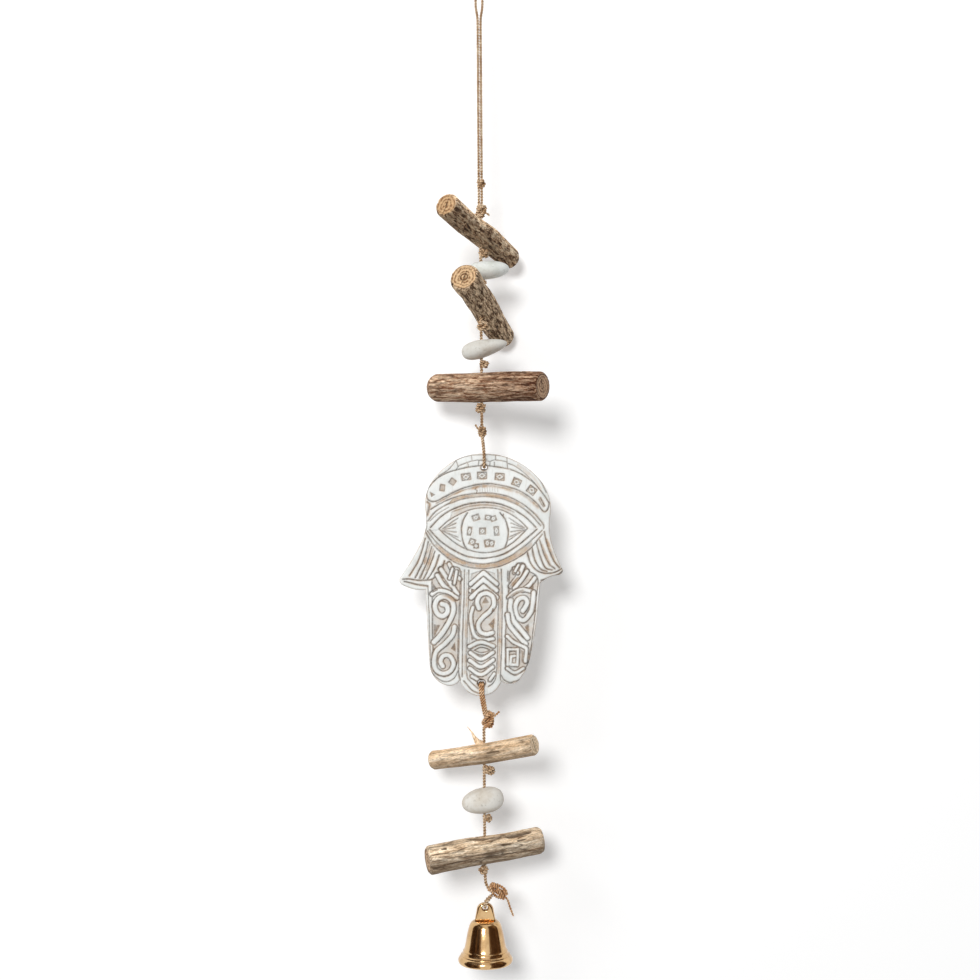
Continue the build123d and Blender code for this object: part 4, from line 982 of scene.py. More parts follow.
class Carving:
    """Depth, darkness (dark wood in the cuts and painted shade there) and stain over a grid of
    points on the hand's face.
    """

    def __init__(self, outline):
        low, high = outline.min(0) - 1.0, outline.max(0) + 1.0
        self.xs = np.arange(low[0], high[0], GRID)
        self.zs = np.arange(low[1], high[1], GRID)
        self.x, self.z = np.meshgrid(self.xs, self.zs)
        self.depth, self.cut, self.stain = (np.zeros_like(self.x) for _ in range(3))
        self.flat = np.stack([self.x.ravel(), np.zeros(self.x.size), self.z.ravel()], 1)
        self.wobble = 1 + 0.34 * self.noise(3.6, 3, 3)
        self.patch = (0.70 + 0.75 * self.noise(5.0, 3, 8)).clip(0.12, 1.2)
        self.drift = [0.16 * self.noise(4.5, 2, seed) for seed in (41, 43)]

    def noise(self, scale, layers, seed, squeeze=1):
        points = self.flat * np.array([1, 1, squeeze])
        return layered_noise(points, scale, layers, seed).reshape(self.x.shape)

    def line(self, points, smooth):
        line = from_drawing(points)
        if not smooth or len(line) < 3:
            return line
        return smooth_line(line)

    def window(self, a, b, reach, axis, places):
        low = max(0, int((min(a[axis], b[axis]) - reach - places[0]) / GRID))
        return slice(low, int((max(a[axis], b[axis]) + reach - places[0]) / GRID) + 2)

    def distance(self, line, reach, closed=False):
        """How far each grid point is from a line, up to a reach."""
        found = np.full(self.x.shape, 1e3)
        ends = np.vstack([line, line[:1]]) if closed else line
        for a, b in zip(ends, ends[1:]):
            near = self.window(a, b, reach, 1, self.zs), self.window(a, b, reach, 0, self.xs)
            x = self.x[near] - a[0] + self.drift[0][near]
            z = self.z[near] - a[1] + self.drift[1][near]
            run = b - a
            t = np.clip((x * run[0] + z * run[1]) / max(1e-12, run.dot(run)), 0, 1)
            found[near] = np.minimum(found[near], np.hypot(x - t * run[0], z - t * run[1]))
        return found

    def inside(self, line):
        """Which grid points lie inside a closed line."""
        result = np.zeros(self.x.shape, bool)
        a, b = line, np.roll(line, -1, 0)
        for row, z in enumerate(self.zs):
            hit = (a[:, 1] > z) != (b[:, 1] > z)
            at = a[hit, 0] + (z - a[hit, 1]) / (b[hit, 1] - a[hit, 1]) * (b[hit, 0] - a[hit, 0])
            for crossing in at:
                result[row] ^= self.xs > crossing
        return result

    def press(self, depth, cut, stain):
        """Keeps the deepest, the darkest and the most stained of what was and what is new."""
        self.depth = np.maximum(self.depth, depth)
        self.cut = np.maximum(self.cut, cut)
        self.stain = np.maximum(self.stain, stain)

    def groove(self, points, wide, deep, dark, stain=0.7, smooth=True):
        """Cuts one line: wide is its half width at half depth."""
        line = self.line(points, smooth)
        away = self.distance(line, wide * 3.4) * self.wobble / wide
        self.press(
            deep * fading(away, 1, 2.2), dark * fading(away, 0.80, 2.6),
            stain * self.patch * fading(away, 1.7, 2),
        )

    def ribbon(self, points, half, deep=1.15, dark=0.95, edge=0.46, smooth=True):
        """Leaves a raised strip along a line, with a cut down each side of it."""
        line = self.line(points, smooth)
        half = half * 1.28
        away = self.distance(line, half + edge * 4) * (0.85 + 0.15 * self.wobble)
        clear = np.clip((half - away) / 0.35, 0, 1)
        crown = 0.10 + 0.34 * np.minimum(away / half, 1) ** 4
        self.depth = self.depth + clear * (np.minimum(self.depth, crown) - self.depth)
        self.cut = self.cut * (1 - clear)
        self.stain = self.stain * (1 - 0.92 * clear)
        beside = np.abs(away - half - edge * 0.55) * self.wobble / edge
        self.press(
            deep * fading(beside, 1, 2.4), dark * fading(beside, 0.85, 2.6),
            0.7 * self.patch * fading(beside, 1.5, 2),
        )

    def field(self, points, deep, edge, stain, dark):
        """Sinks the inside of a closed line."""
        line = from_drawing(points)
        away = np.where(self.inside(line), self.distance(line, edge * 2, closed=True), 0)
        sunk = np.clip(away / edge, 0, 1)
        sunk = sunk * sunk * (3 - 2 * sunk)
        self.press(deep * sunk, dark * sunk, stain * self.patch * sunk)

    def island(self, x, y, reach, wide, tall, tilt):
        """A small raised lozenge left standing in a ragged sunk square."""
        def corners(places, scale):
            return [
                (x, y) + scale * turned((a * wide / 2, b * tall / 2), math.radians(tilt))
                for a, b in places
            ]
        square = corners(((-1, -1), (1, -1), (1, 1), (-1, 1)), 1)
        self.field(square, 0.8, 0.35, 0.7, 0.85 * 0.35)
        self.groove(square + square[:1], 0.34, 0.8, 0.85, 0.8, smooth=False)
        if reach:
            heart = corners(((0, -1), (1, 0), (0, 1), (-1, 0), (0, -1)), reach)
            self.ribbon(heart, 0.42, 0.8, 0.7, 0.25, smooth=False)


def between(upper, lower):
    return list(upper) + list(reversed(lower))


# The carving as drawn over an enlarged view: 1 unit is 0.1037 mm, y runs down
BAND_TOP = drawn(
    "168,322 178,288 222,238 285,200 345,180 410,166 460,160 500,156 560,160 640,172 700,190 "
    "760,222 812,262 850,305 880,348 903,385"
)
BAND_LOW = drawn(
    "168,322 172,350 196,368 230,364 270,344 335,312 400,286 470,270 535,264 600,272 670,288 "
    "732,312 790,350 835,392 862,428 880,432 896,412 903,385"
)
RINGS = {name: drawn(line) for name, line in {
    "upper_a": "190,416 250,380 320,350 400,330 480,321 560,322 640,338 705,364 765,404 820,452 "
               "866,512 868,536",
    "upper_b": "172,488 222,428 290,388 360,362 435,346 520,341 600,350 680,376 745,412 802,462 "
               "850,518",
    "upper_c": "190,524 250,462 320,418 395,391 465,379 540,377 620,391 690,421 760,466 820,528",
    "upper_d": "240,532 300,482 370,442 440,416 520,408 600,416 662,442 722,482 770,532",
    "lower_d": "240,534 300,590 375,642 450,670 520,678 590,667 650,640 712,594 770,534",
    "lower_c": "186,540 250,608 330,662 410,698 500,711 600,695 682,656 752,604 826,540",
    "lower_b": "172,546 228,618 300,678 380,722 470,744 560,739 650,706 738,652 802,598 858,546",
    "lower_a": "162,556 208,630 262,682 330,730 402,760 500,772 582,764 662,736 742,690 802,638 "
               "858,570",
}.items()}


def carve_wrist(work):
    for line in (
        "240,216 300,178 345,122", "345,122 357,158 346,176",
        "345,122 390,104 437,92", "437,92 443,128", "357,158 402,140 443,128",
        "415,140 420,162", "443,128 480,124 478,158", "480,124 530,118",
        "480,124 530,128 548,134 546,158", "548,132 582,122 650,134",
        "582,94 584,122", "575,134 576,160", "576,160 648,172",
        "650,104 654,172", "437,92 520,90 600,94 650,104",
        "650,104 715,124 775,162 826,214 858,262 884,320",
        "650,140 700,160 750,196 800,244 838,290",
    ):
        work.groove(line, 0.34, 0.55, 0.85, 0.35)
    work.field(
        "700,160 760,205 810,250 850,300 868,300 826,232 776,180 715,140", 0.3, 0.8, 0.5, 0.05,
    )
    for line in (BAND_TOP, BAND_LOW):
        work.groove(line, 0.46, 0.95, 0.9, 0.5)
    work.groove([(y, x + 13) for y, x in BAND_LOW[3:-4]], 0.6, 0.8, 0.25, 1.1)
    work.field("184,306 222,328 196,344", 0.8, 0.35, 0.9, 0.6)
    work.island(262, 286, 0, 26, 34, 8)
    work.island(323, 250, 0, 32, 32, 35)
    for x, y, wide, tall, tilt in (
        (405, 222, 52, 38, -8), (500, 214, 54, 38, 0), (607, 223, 52, 38, 6),
        (708, 257, 48, 42, 24), (797, 305, 50, 42, 38),
    ):
        work.island(x, y, 0.62, wide, tall, tilt)
    work.groove("850,352 862,374 874,400", 0.55, 0.9, 0.9)
    work.groove("842,360 856,388 868,404", 0.35, 0.7, 0.7)
    work.groove("466,286 458,296 470,304 464,320", 0.26, 0.6, 0.9, 0.3)
    for x in range(486, 606, 15):
        work.groove([(x, 284), (x + 2, 312)], 0.22, 0.3, 0.35, 0.3)
    work.groove("172,372 184,384 180,420 172,448", 0.6, 0.8, 0.5, 1.0)


def carve_eye(work):
    work.field(between(RINGS["upper_a"][2:9], RINGS["upper_b"][2:9]), 0.55, 0.6, 1.25, 0.12)
    work.field(between(RINGS["lower_b"][1:-1], RINGS["lower_a"][1:-1]), 0.75, 0.6, 1.25, 0.12)
    work.field(between(RINGS["upper_c"][2:-2], RINGS["upper_d"][1:-1]), 0.5, 0.6, 0.45, 0.10)
    work.field(between(RINGS["lower_d"], RINGS["lower_c"]), 0.4, 0.6, 0.15, 0.0)
    for name, wide, deep, dark in (
        ("upper_a", 0.42, 0.9, 0.85), ("upper_b", 0.42, 0.9, 0.75), ("upper_c", 0.5, 1.1, 0.95),
        ("upper_d", 0.42, 0.9, 0.9), ("lower_d", 0.42, 0.9, 0.9), ("lower_c", 0.55, 1.1, 0.95),
        ("lower_b", 0.40, 0.9, 0.8), ("lower_a", 0.5, 1.0, 0.9),
    ):
        work.groove(RINGS[name], wide, deep, dark, 0.6)
    work.groove([(x, y + 14) for x, y in RINGS["upper_c"][2:-2]], 0.5, 0.5, 0.55, 0.9)
    work.groove("186,486 230,446 300,404", 0.32, 0.6, 0.6, 0.4)
    work.groove("150,560 168,520 166,470 172,430", 0.34, 0.5, 0.7, 0.4)
    for line in (
        "412,438 386,482 375,532 380,592 394,636 410,660",
        "608,438 640,484 655,540 650,602 634,650",
    ):
        work.groove(line, 0.5, 0.95, 0.95, 0.5)
    work.groove("628,446 626,470", 0.3, 0.6, 0.8, 0.8)
    for x, y, wide, tall, tilt in (
        (463, 467, 38, 32, -20), (536, 468, 34, 26, 10), (568, 474, 30, 26, -20),
        (424, 548, 20, 48, 10), (502, 548, 34, 36, 0), (586, 548, 26, 50, -4),
        (440, 612, 34, 34, 20), (462, 636, 26, 26, 0), (530, 620, 30, 40, -10),
        (556, 622, 26, 36, 14),
    ):
        work.island(x, y, 0.6, wide, tall, tilt)
    for corner, side in ((262, 1), (752, -1)):
        for near, far, rise, fall in (
            (0, 92, -2, -66), (2, 80, -2, -36), (8, 76, 0, -10), (8, 82, 4, 18), (2, 92, 6, 48),
            (-4, 106, 2, 74),
        ):
            work.groove(
                [(corner + side * near, 536 + rise * 2), (corner + side * far, 536 + fall)],
                0.40, 0.7, 0.7, 0.45,
            )


def carve_thumbs(work):
    for line in (
        "158,590 132,680 100,752 62,812",
        "176,610 160,680 134,750 96,824",
        "196,640 178,704 152,770 124,828",
        "214,668 194,730 168,790 146,832",
        "240,690 220,752 194,800 168,836",
        "272,726 256,782 226,816 184,838 120,840 58,832 20,834",
        "30,846 90,862 150,872 172,876",
        "840,592 864,672 896,742 934,776",
        "872,556 892,640 926,726 962,772",
        "822,616 846,700 876,768 918,784",
        "796,644 812,716 846,776 886,792",
        "768,676 786,736 820,782 868,802 930,798 984,772",
        "850,846 900,832 950,812 986,786",
    ):
        work.groove(line, 0.5, 1.0, 0.9, 0.85)
    for line in (
        "186,626 150,740", "204,656 164,780", "854,634 904,756", "884,600 930,730",
    ):
        work.groove(line, 0.6, 0.7, 0.25, 1.1)


def carve_left_finger(work):
    panel = (
        "196,838 230,800 270,742 330,760 366,790 360,950 350,1200 344,1330 316,1392 266,1416 "
        "224,1392 204,1340 198,1100 196,838"
    )
    work.field(panel, 1.0, 0.6, 0.46, 0.16)
    work.groove(
        "172,872 176,1000 180,1150 186,1350 206,1410 262,1448 322,1432 356,1370",
        0.36, 0.7, 0.85, 0.4,
    )
    work.groove(panel, 0.44, 1.0, 0.95, 0.6)
    for line, half in (
        ("250,776 300,850 348,924", 1.1), ("300,744 328,800 364,836", 0.9),
        ("228,812 262,868 300,902", 1.1), ("320,772 300,830", 0.7),
        ("344,790 330,860", 0.8),
        ("196,924 232,902 290,912 344,948", 1.0),
        ("330,1120 318,1168 270,1222 222,1262 206,1316 214,1372 256,1400 304,1384 322,1338 "
         "300,1296 262,1294 244,1326 258,1356", 1.15),
        ("206,1212 250,1164 296,1092 324,1025 316,968 274,940 232,953 213,995 226,1040 260,1056 "
         "288,1030 282,995 256,984", 1.25),
    ):
        work.ribbon(line, half)
    work.groove("262,924 300,940 338,962", 0.9, 0.9, 0.3, 1.2)
    work.field("202,856 196,918 236,900", 1.0, 0.3, 1.0, 0.75)
    work.field("204,1102 206,1188 246,1108", 1.0, 0.3, 1.0, 0.7)
    work.field("334,1204 304,1250 338,1276", 1.0, 0.3, 1.0, 0.7)


def carve_middle_finger(work):
    panel = (
        "430,800 505,776 578,800 588,900 582,1200 572,1400 540,1440 500,1452 440,1440 "
        "412,1400 412,1200 420,900 430,800"
    )
    work.field(panel, 0.95, 0.6, 0.42, 0.14)
    for line in (
        "372,790 368,950 356,1200 352,1380 362,1440",
        "392,780 388,950 378,1200 374,1420",
        "418,782 414,950 404,1200 402,1400 420,1446 470,1492",
        "592,780 594,950 588,1200 580,1400 560,1456 530,1480",
        "612,778 616,950 612,1200 604,1400 604,1440",
        "652,790 652,850",
        "384,1446 430,1500 470,1522",
        "606,1410 624,1440 660,1458 700,1446",
    ):
        work.groove(line, 0.42, 0.95, 0.85, 0.55)
    work.groove("408,800 404,950 396,1200 392,1400", 0.5, 0.5, 0.15, 0.9)
    work.groove("602,800 606,950 600,1200 592,1400", 0.6, 0.6, 0.15, 1.0)
    for top in (798, 838, 880):
        work.ribbon([(430, top + 66), (505, top), (582, top + 66)], 1.15, smooth=False)
    for line, half in (
        ("440,1006 428,1060 434,1120 452,1176 500,1200 560,1194", 0.9),
        ("476,1012 466,972 484,934 524,920 560,944 566,990 540,1030 500,1064 472,1104 482,1150 "
         "520,1166 556,1158", 1.15),
        ("418,1240 486,1214 562,1238", 0.95),
        ("430,1262 490,1236 552,1262 490,1284 430,1262", 0.45),
        ("424,1276 486,1316 558,1276", 0.95),
        ("420,1322 486,1362 560,1320", 0.95),
        ("420,1370 486,1408 556,1364", 0.95),
        ("432,1418 474,1442", 0.8),
        ("566,1404 540,1440", 0.8),
    ):
        work.ribbon(line, half)
    for shape in (
        "515,938 492,984 542,980", "572,1064 530,1106 566,1148",
        "424,1154 428,1206 452,1194", "560,1004 574,1030 548,1036",
        "428,890 430,925 460,900", "450,960 428,985 446,1000",
    ):
        work.field(shape, 1.0, 0.3, 1.0, 0.65)


def carve_right_finger(work):
    panel = (
        "662,796 700,756 742,742 780,790 830,836 820,960 806,1100 780,1290 762,1350 730,1390 "
        "690,1414 652,1384 634,1330 640,1100 656,900 662,796"
    )
    work.field(panel, 1.0, 0.6, 0.46, 0.16)
    work.groove(
        "846,858 836,1000 820,1120 786,1300 764,1390 720,1436 680,1452", 0.36, 0.7, 0.85, 0.4,
    )
    work.groove(panel, 0.44, 1.0, 0.95, 0.6)
    for line, half in (
        ("742,760 720,810 668,880", 1.0), ("690,776 712,800", 0.8),
        ("716,752 690,800", 0.7), ("766,790 742,830 690,892", 1.0),
        ("812,832 784,868 740,904", 1.0),
        ("656,946 690,916 740,900 804,914", 0.95),
        ("806,918 800,985 784,1040 744,1084 706,1062 694,1010 712,962 748,950 766,976 752,1010 "
         "738,1028", 1.15),
        ("668,964 664,1020 684,1084 724,1136 766,1190", 1.2),
        ("648,1050 660,1110 700,1166 756,1226", 1.1),
        ("646,1180 684,1214 740,1242 760,1262 752,1330", 0.9),
    ):
        work.ribbon(line, half)
    fret = "648,1352 646,1258 708,1258 706,1352 664,1350 668,1300 688,1298"
    work.ribbon(fret, 0.75, smooth=False)
    work.ribbon("644,1372 690,1398 740,1372", 0.8)
    work.groove("660,950 694,924 740,906", 0.7, 0.8, 0.3, 1.2)
    work.groove("664,884 712,830", 0.7, 0.8, 0.3, 1.2)
    for shape in (
        "804,850 776,896 808,902", "778,1098 748,1122 776,1184",
        "674,786 690,812 706,798", "724,1256 744,1270 732,1360",
    ):
        work.field(shape, 1.0, 0.3, 1.0, 0.7)


def boundary_loops(quads):
    """Runs of vertices round every open edge of a grid, in the quads' own direction."""
    pairs = {(a, b) for quad in quads.tolist() for a, b in zip(quad, quad[1:] + quad[:1])}
    after = {a: b for a, b in pairs if (b, a) not in pairs}
    loops = []
    while after:
        loop = [min(after)]
        while after[loop[-1]] != loop[0]:
            loop.append(after[loop[-1]])
        for vertex in loop:
            del after[vertex]
        loops.append(loop)
    return loops


def nearest_on(line, places):
    """The nearest point on a closed line to each place."""
    a, b = line, np.roll(line, -1, 0)
    run = b - a
    best = np.zeros_like(places)
    for k, place in enumerate(places):
        t = np.clip(((place - a) * run).sum(1) / np.maximum((run * run).sum(1), 1e-12), 0, 1)
        on_line = a + run * t[:, None]
        best[k] = on_line[np.argmin(((on_line - place) ** 2).sum(1))]
    return best


def rounding(away, radius):
    """How far a rounded edge has sunk at a distance from it."""
    inward = radius - np.minimum(away, radius)
    return radius - np.sqrt(np.clip(radius ** 2 - inward ** 2, 0, None))


def whole_cells(keep):
    """The grid cells whose four corners are kept."""
    cells = keep[:-1, :-1] & keep[1:, :-1] & keep[:-1, 1:] & keep[1:, 1:]
    for _ in range(3):  # a corner shared by two cells alone would tear the edge
        falling = cells[:-1, :-1] & cells[1:, 1:] & ~cells[1:, :-1] & ~cells[:-1, 1:]
        rising = ~cells[:-1, :-1] & ~cells[1:, 1:] & cells[1:, :-1] & cells[:-1, 1:]
        cells[:-1, :-1] &= ~falling
        cells[1:, :-1] &= ~rising
    return np.nonzero(cells)


def band_faces(above, below):
    """Faces between two closed rows of vertices."""
    return [
        (b, a, c, d)
        for a, b, c, d in zip(above, above[1:] + above[:1], below, below[1:] + below[:1])
    ]


HAND_EASE = 1.5
HOLE_EASE = 1.2
HOLE_SIDES = 48
WALL_ROWS = (-2.0, 2.0)


def make_hand():
    outline = hand_outline()
    work = Carving(outline)
    for carve in (
        carve_wrist, carve_eye, carve_thumbs, carve_left_finger, carve_middle_finger,
        carve_right_finger,
    ):
        carve(work)
    work.drift = np.zeros((2, *work.x.shape))
    edge = work.distance(outline, 6.0, closed=True)
    signed = np.where(work.inside(outline), edge, -edge)
    rims, far_ends = [outline], [(-1e3, 1e3)]
    angles = np.arange(HOLE_SIDES) * FULL_TURN / HOLE_SIDES
    for x, z, radius, low, high in (TOP_HOLE, BOTTOM_HOLE):
        rim = np.hypot(work.x - x, work.z - z) - radius
        signed = np.minimum(signed, rim)
        rim = np.maximum(rim, 0)
        # painted shade: the rims of the holes are darkened in the colour, and stained round them
        work.press(
            rounding(rim, HOLE_EASE), 0.95 * np.exp(-(rim / 0.6) ** 2), 0.9 * np.exp(-rim ** 2),
        )
        rims.append(np.stack([x + radius * np.cos(angles), z + radius * np.sin(angles)], 1))
        far_ends.append((z + low, z + high))
    worn = 0.5 + 0.5 * work.noise(14.0, 3, 21)
    grain = 0.5 + 0.5 * work.noise(1.3, 3, 25, 0.25)
    work.depth += 0.20 * worn + 0.08 * grain + 0.8 * rounding(edge, HAND_EASE)
    work.stain = np.maximum(work.stain, 0.8 * work.patch * np.exp(-(edge / 0.55) ** 2))
    index = np.arange(work.x.size).reshape(work.x.shape)
    rows, columns = whole_cells(signed > -0.5 * GRID)
    quads = np.stack([
        index[rows, columns], index[rows, columns + 1], index[rows + 1, columns + 1],
        index[rows + 1, columns],
    ], 1)
    used, new = np.unique(quads, return_inverse=True)
    quads = new.reshape(quads.shape)
    x, z, depth, edge, grain, cut, stain, patch = (
        part.ravel()[used]
        for part in (work.x, work.z, work.depth, edge, grain, work.cut, work.stain, work.patch)
    )
    front = -HAND_THICK / 2 + depth
    back = HAND_THICK / 2 - 0.6 * np.clip(1 - edge / 1.2, 0, 1) ** 2 - 0.06 * grain
    loops = boundary_loops(quads)
    far_z = z.copy()
    hole_wall_shade = []
    for loop in loops:
        places = np.stack([x[loop], z[loop]], 1)
        middle = places.mean(0)
        which = min(range(3), key=lambda k: float(np.abs(rims[k].mean(0) - middle).sum()))
        x[loop], z[loop] = nearest_on(rims[which], places).T
        far_z[loop] = np.clip(z[loop], *far_ends[which])
        front[loop] = -HAND_THICK / 2 + (1.3 if which else HAND_EASE)
        back[loop] = HAND_THICK / 2 - 0.8
        hole_wall_shade.append(0.9 if which else 0.0)
    count = len(x)
    points = np.concatenate([np.stack([x, front, z], 1), np.stack([x, back, far_z], 1)])
    faces = [tuple(quad) for quad in quads.tolist()]
    faces += shifted([quad[::-1] for quad in faces], count)
    cut = np.concatenate([cut, np.zeros(count)])
    stain = np.concatenate([stain, np.clip(0.35 + 0.5 * (patch - 0.7), 0, 1)])
    # painted shade: the walls of the two holes are painted dark
    for loop, dark in zip(loops, hole_wall_shade):
        above = loop
        for level in WALL_ROWS:
            ring = points[loop]
            ring[:, 1] = level + 0.15 * layered_noise(ring, 2.5, 2, 61)
            row = list(range(len(points), len(points) + len(loop)))
            points = np.concatenate([points, ring])
            cut = np.concatenate([cut, np.full(len(loop), dark)])
            stain = np.concatenate([stain, 0.55 + 0.45 * layered_noise(ring, 4.0, 2, 63)])
            faces += band_faces(above, row)
            above = row
        faces += band_faces(above, [vertex + count for vertex in loop])
    make_piece(
        "hand_carved", points, faces, hand_material(), "hand",
        floats={"cut": np.clip(cut, 0, 1), "stain": np.clip(stain, 0, 1)},
    )


make_hand()


# Bell

brass = brass_material("polished_brass", 0.13, (0.70, 0.47, 0.24), (0.42, 0.22, 0.08))
dull = brass_material("dull_brass", 0.34, (0.62, 0.46, 0.22), (0.36, 0.25, 0.12))


def revolved(profile, around=96):
    """Points and faces of a profile of radius and height, turned about the cord's line."""
    angles = FULL_TURN * np.arange(around) / around
    profile = np.array(profile)
    radii, heights = np.maximum(profile[:, :1], 0.01), profile[:, 1:]
    points = np.stack(np.broadcast_arrays(
        radii * np.cos(angles), radii * np.sin(angles), heights,
    ), -1).reshape(-1, 3)
    return points, grid_faces(len(profile), around)


RIM = -601.5
outer = drawn(
    "15.6,0 16.2,0.1 16.7,0.6 17,1.5 17,2.5 16.6,3.4 15.9,4.3 15.3,4.75 15.25,5.05 15.45,5.3 "
    "15.2,5.55 14.6,5.9 14.1,6.7 13.85,7.25 13.95,7.55 14,7.8 13.75,8.1 13.3,8.7 12.85,10.2 "
    "12.3,12.8 11.7,16.2 11,19.4 10.3,22 9.8,23.6 9.1,24.8 8.2,25.7 7.2,26.2 6,26.3 0.01,26.3"
)
inner = drawn("0.01,24.8 6,24.8 8.3,23 9.6,19 10.8,14 12.2,9 14.3,4.6 15.2,1 15.6,0")
outer_line, inner_line = (
    smooth_line([(radius, height + RIM) for radius, height in side], 3) for side in (outer, inner)
)
make_piece(
    "bell_shell_brass", *revolved(np.vstack([outer_line, inner_line[1:]])), brass, "bell",
)

LUG_BASE, LUG_TOP = -575.4, -563.9
LUG_EYE, LUG_EYE_RADIUS = -566.8, 1.6
LUG_ROWS, LUG_COLUMNS = 56, 96


def on_lug(x, z):
    """Whether a place lies inside the lug's outline: tapering, then round at the top."""
    height = (z - LUG_BASE) / (LUG_TOP - LUG_BASE)
    half = 6.7 - 1.4 * min(1, max(0, height / 0.6))
    if height > 0.6:
        half = 5.3 * math.sqrt(max(0, 1 - min(1, (height - 0.6) / 0.4) ** 2))
    return abs(x) <= half and LUG_BASE <= z <= LUG_TOP


def lug_reach(dx, dz):
    """How far the lug's edge is from the middle of its eye in a direction."""
    low, high = LUG_EYE_RADIUS, 20.0
    for _ in range(24):
        middle = (low + high) / 2
        if on_lug(dx * middle, LUG_EYE + dz * middle):
            low = middle
        else:
            high = middle
    return low


def make_lug():
    """The cast lug: a rounded tongue with a small eye, thinner at its edges."""
    spokes = []
    for angle in FULL_TURN * np.arange(LUG_COLUMNS) / LUG_COLUMNS:
        dx, dz = math.cos(angle), math.sin(angle)
        spokes.append((dx, dz, lug_reach(dx, dz)))
    front = []
    for t in np.arange(LUG_ROWS) / (LUG_ROWS - 1):
        for dx, dz, reach in spokes:
            away = LUG_EYE_RADIUS + (reach - LUG_EYE_RADIUS) * t
            rim = min(1, (reach - away) / 1.6)
            bore = min(1, (away - LUG_EYE_RADIUS) / 0.7)
            half = 2.5 * math.sqrt(max(0, 1 - (1 - rim) ** 2)) ** 0.8
            half *= 0.35 + 0.65 * math.sqrt(max(0, 1 - (1 - bore) ** 2))
            front.append((dx * away, -half, LUG_EYE + dz * away))
    count = len(front)
    faces = grid_faces(LUG_ROWS, LUG_COLUMNS)
    faces += shifted(faces, count)
    for k in range(LUG_COLUMNS):
        after = (k + 1) % LUG_COLUMNS
        faces.append((k, after, count + after, count + k))
    points = front + [(x, -y, z) for x, y, z in front]
    weld(make_piece("bell_lug", points, faces, brass, "bell", replaces=False), 2e-6)


make_lug()


# The shoot on stick 4, the staple and the clapper

def plain_tube(line, radius, around=16, closed=False):
    _, sides, ups = frames_along(line, closed)
    points = rings_along(line, np.broadcast_to(radius, len(line)), sides, ups, around)
    faces = grid_faces(len(line), around, closed_rows=closed)
    return points, faces if closed else faces + tube_caps(len(line), around)


SHOOT_AROUND = 28
SHOOT_FOOT = -466.0
spine, _ = even_steps(smooth_line([
    (-2.4, 2.6, SHOOT_FOOT), (-4.6, 2.2, -463.2), (-6.3, 2.0, -460.6), (-7.4, 2.0, -458.2),
    (-10.4, 2.0, -454.4),
], 8), 0.25)
left = 1 - np.linspace(0, 1, len(spine))
shoot_points, shoot_faces = plain_tube(
    spine, 0.22 + 2.9 * left ** 2.1 * (1 + 0.2 * noise(spine, 1.4, 5)), SHOOT_AROUND,
)
lumps = 0.22 * noise(shoot_points, 0.9, 7) * np.repeat(left, SHOOT_AROUND)
shoot_points += lumps[:, None] * np.array([1, 1, 0])
zeros = np.zeros(len(shoot_points))
# its upward value of 4.0 gives the shoot the wood's full painted top light
make_piece(
    "driftwood_4_shoot", shoot_points, shoot_faces, wood_pale, "driftwood_4", replaces=False,
    floats={"furrow": zeros, "end": zeros}, vectors={"stick": np.stack([
        (shoot_points[:, 2] - SHOOT_FOOT) * 1.5, shoot_points[:, 0], zeros + 4.0,
    ], 1)},
)

steel = Look("steel_wire")
wear = steel.maths("MULTIPLY_ADD", steel.noise(steel.where(), 400.0), 0.3, 0.25)
wire = steel.finish((0.50, 0.48, 0.45), wear, metallic=1.0)
bow = [(-2.4, 0, -576.9), (-2.4, 0, -579.8), (-2.1, 0, -580.8), (-1.2, 0, -581.1)]
bow = smooth_line(there_and_back(bow, (-1, 1, 1)))
make_piece("staple_wire", *plain_tube(bow, 0.6), wire, "clapper_staple")

ball = smooth_line(drawn(
    "0.01,-600.1 1.4,-600 2.6,-599.4 3.4,-598.2 3.6,-596.9 3.3,-595.4 2.4,-594.2 1.2,-593.3 "
    "0.72,-592.4 0.7,-590 0.7,-583.2 0.62,-582.8 0.01,-582.7"
), 4)
EYE_SIDES, EYE_RADIUS, EYE_MIDDLE = 40, 1.42, -581.1
angles = np.linspace(0, FULL_TURN, EYE_SIDES, endpoint=False)
eye = np.stack([
    np.zeros(EYE_SIDES), EYE_RADIUS * np.cos(angles), EYE_MIDDLE + EYE_RADIUS * np.sin(angles),
], 1)
clapper_points, clapper_faces, _ = join(
    (*revolved(ball, 40), []), (*plain_tube(eye, 0.46, 12, closed=True), []),
)
make_piece("clapper_brass", clapper_points, clapper_faces, dull, "clapper")


# Wall, cards and light, in metres

def make_stage(name, points, faces, material):
    mesh = bpy.data.meshes.new(name)
    mesh.from_pydata(points, [], faces)
    mesh.materials.append(material)
    sheet = bpy.data.objects.new(name, mesh)
    bpy.context.scene.collection.objects.link(sheet)
    return sheet


wall = Look("wall")
wall.finish((0.93, 0.93, 0.93), 1.0, 0.0, bump=(wall.noise(wall.where(), 3.0), 0.02, 0.0002))
glow = wall.maths("MULTIPLY", wall.seen_rays(), 0.16)
wall.feed(wall.shader.inputs["Emission Strength"], glow)
wall.feed(wall.shader.inputs["Emission Color"], (1, 1, 1))
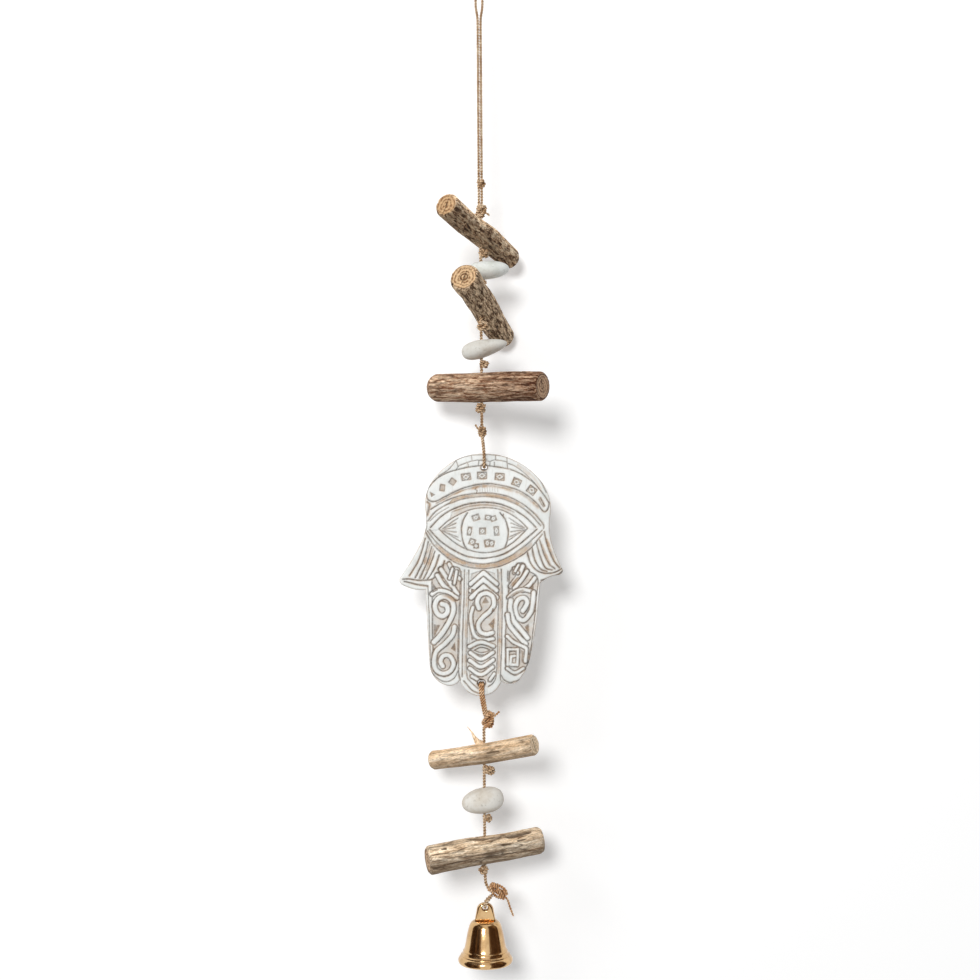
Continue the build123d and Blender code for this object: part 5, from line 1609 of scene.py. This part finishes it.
# the wall lets the camera through from behind, so that the back can be looked at
far_side = wall.maths(
    "MULTIPLY", wall.add("ShaderNodeNewGeometry").outputs["Backfacing"],
    wall.add("ShaderNodeLightPath").outputs["Is Camera Ray"],
)
either_side = wall.add("ShaderNodeMixShader", {
    0: far_side, 1: wall.shader.outputs[0],
    2: wall.add("ShaderNodeBsdfTransparent").outputs[0],
})
wall.feed(wall.tree.nodes["Material Output"].inputs["Surface"], either_side.outputs[0])
WALL = 0.046
make_stage(
    "wall", [(-4, WALL, -2.5), (4, WALL, -2.5), (4, WALL, 3), (-4, WALL, 3)],
    [(0, 1, 2, 3)], wall.material,
)

CARD_COLUMNS, CARD_RADIUS = 9, 0.4
CARD_FIRST, CARD_LAST = 24, 120  # degrees round from the front
CARD_LOW, CARD_HIGH = -1.1, 0.1
card_look = Look("dark_card")
bands = card_look.noise(card_look.where(), 7.0, 3.0, stretch=(1, 1, 0.08))
dark_card = card_look.finish(card_look.ramp(
    bands, (0.40, (0.035, 0.014, 0.007)), (0.56, (0.11, 0.055, 0.025)), (0.66, (0.34, 0.21, 0.11)),
), 1.0)
for side, card_name in ((-1, "card_left"), (1, "card_right")):
    card = make_stage(card_name, [
        (side * CARD_RADIUS * math.sin(angle), -CARD_RADIUS * math.cos(angle), z)
        for z in (CARD_LOW, CARD_HIGH)
        for angle in np.radians(np.linspace(CARD_FIRST, CARD_LAST, CARD_COLUMNS)).tolist()
    ], grid_faces(2, CARD_COLUMNS, closed_columns=False), dark_card)
    card.visible_camera = card.visible_shadow = card.visible_diffuse = False


LIGHT_AIM = Vector((0, 0, -0.3))


def add_light(name, place, size, energy):
    data = bpy.data.lights.new(name, "AREA")
    data.shape = "DISK"
    data.size = size
    data.energy = energy
    lamp = bpy.data.objects.new(name, data)
    lamp.location = place
    direction = LIGHT_AIM - Vector(place)
    lamp.rotation_euler = direction.to_track_quat("-Z", "Y").to_euler()
    bpy.context.scene.collection.objects.link(lamp)


add_light("key", (-0.62, -2.9, 0.62), 0.9, 58)
add_light("raking", (-0.9, -0.75, 0.5), 0.5, 3.4)
WORLD_LIT, WORLD_SEEN = 0.38, 1.0
world = bpy.data.worlds.new("world")
world.use_nodes = True
bpy.context.scene.world = world
sky = Nodes(world.node_tree)
background = world.node_tree.nodes["Background"]
level = sky.maths("MULTIPLY_ADD", sky.seen_rays(), WORLD_SEEN - WORLD_LIT, WORLD_LIT)
sky.feed(background.inputs["Color"], (1, 1, 1))
sky.feed(background.inputs["Strength"], level)

scene = bpy.context.scene
scene.view_settings.view_transform = "Standard"
